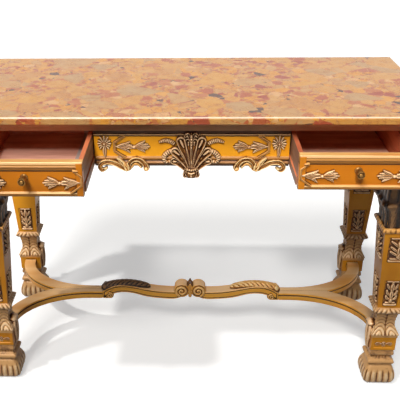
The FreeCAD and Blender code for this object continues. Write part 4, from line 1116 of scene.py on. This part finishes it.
# ---- floor, light and camera
def add_floor():
    """A pale floor that keeps the table's shadow."""
    bpy.ops.mesh.primitive_plane_add(size=FLOOR_SIZE, location=(0, 0, 0))
    floor = bpy.context.object
    floor.name = "floor"
    make = Finish("pale_floor", Roughness=0.9)
    seen = make.seen()
    make.shader.inputs["Emission Color"].default_value = (1, 1, 1, 1)
    make.join(make.mix(seen, UNSEEN_FLOOR, SEEN_FLOOR), make.shader.inputs["Base Color"])
    make.join(make.math("MULTIPLY", seen, FLOOR_LIFT), make.shader.inputs["Emission Strength"])
    floor.data.materials.append(make.material)


FLOOR_SIZE, FLOOR_LIFT = 30, 0.47
UNSEEN_FLOOR, SEEN_FLOOR = "#363636", "#d9d9d9"
LAMP_COLOUR = (1, 0.985, 0.95)
WORLD_LEVEL = 0.045


def add_lamp(name, kind, energy, travel, place=(0, 0, 3), **settings):
    lamp = bpy.data.lights.new(name, kind)
    lamp.energy, lamp.color = energy, LAMP_COLOUR
    for setting, value in settings.items():
        setattr(lamp, setting, value)
    source = linked(name, lamp)
    source.location = place
    source.rotation_mode = "QUATERNION"
    source.rotation_quaternion = Vector(travel).to_track_quat("-Z", "Y")


def add_light():
    """A soft key, a small steep one, a soft box for the case, and a pale world."""
    add_lamp("key", "SUN", 1.7, (0.327, 1, -1.31), angle=math.radians(16))
    add_lamp("top", "SUN", 1.5, (0.45, 0.33, -1), angle=math.radians(3))
    add_lamp("soft_box", "AREA", 2.2, (0.15, 1, -0.88), (-0.1455, -1.038, 1.751),
             shape="RECTANGLE", size=1.75, size_y=0.68, spread=math.radians(9))
    world = bpy.data.worlds.new("studio")
    bpy.context.scene.world = world
    world.use_nodes = True
    sky = Nodes(world.node_tree)
    background = sky.tree.nodes["Background"]
    background.inputs["Color"].default_value = (1, 1, 1, 1)
    sockets = {"Value": sky.seen(), "To Min": WORLD_LEVEL}
    sky.join(sky.node("MapRange", sockets).outputs[0], background.inputs["Strength"])


YAW, PITCH, ROLL = 0.0504138, 0.4533851, -0.0174683
CAMERA_PLACE = (-0.00854, -1.8540, 1.42599)


def add_camera():
    """The view from in front, above and a little to the left."""
    lens = bpy.data.cameras.new("camera")
    lens.sensor_width, lens.lens, lens.shift_x = 36, 63.11, 0.1099
    camera = linked("camera", lens)
    camera.matrix_world = (
        Matrix.Translation(CAMERA_PLACE) @ Matrix.Rotation(YAW, 4, "Z")
        @ Matrix.Rotation(math.pi / 2 - PITCH, 4, "X") @ Matrix.Rotation(ROLL, 4, "Z"))
    bpy.context.scene.camera = camera


add_floor()
add_light()
add_camera()
bpy.context.scene.view_settings.view_transform = "Standard"
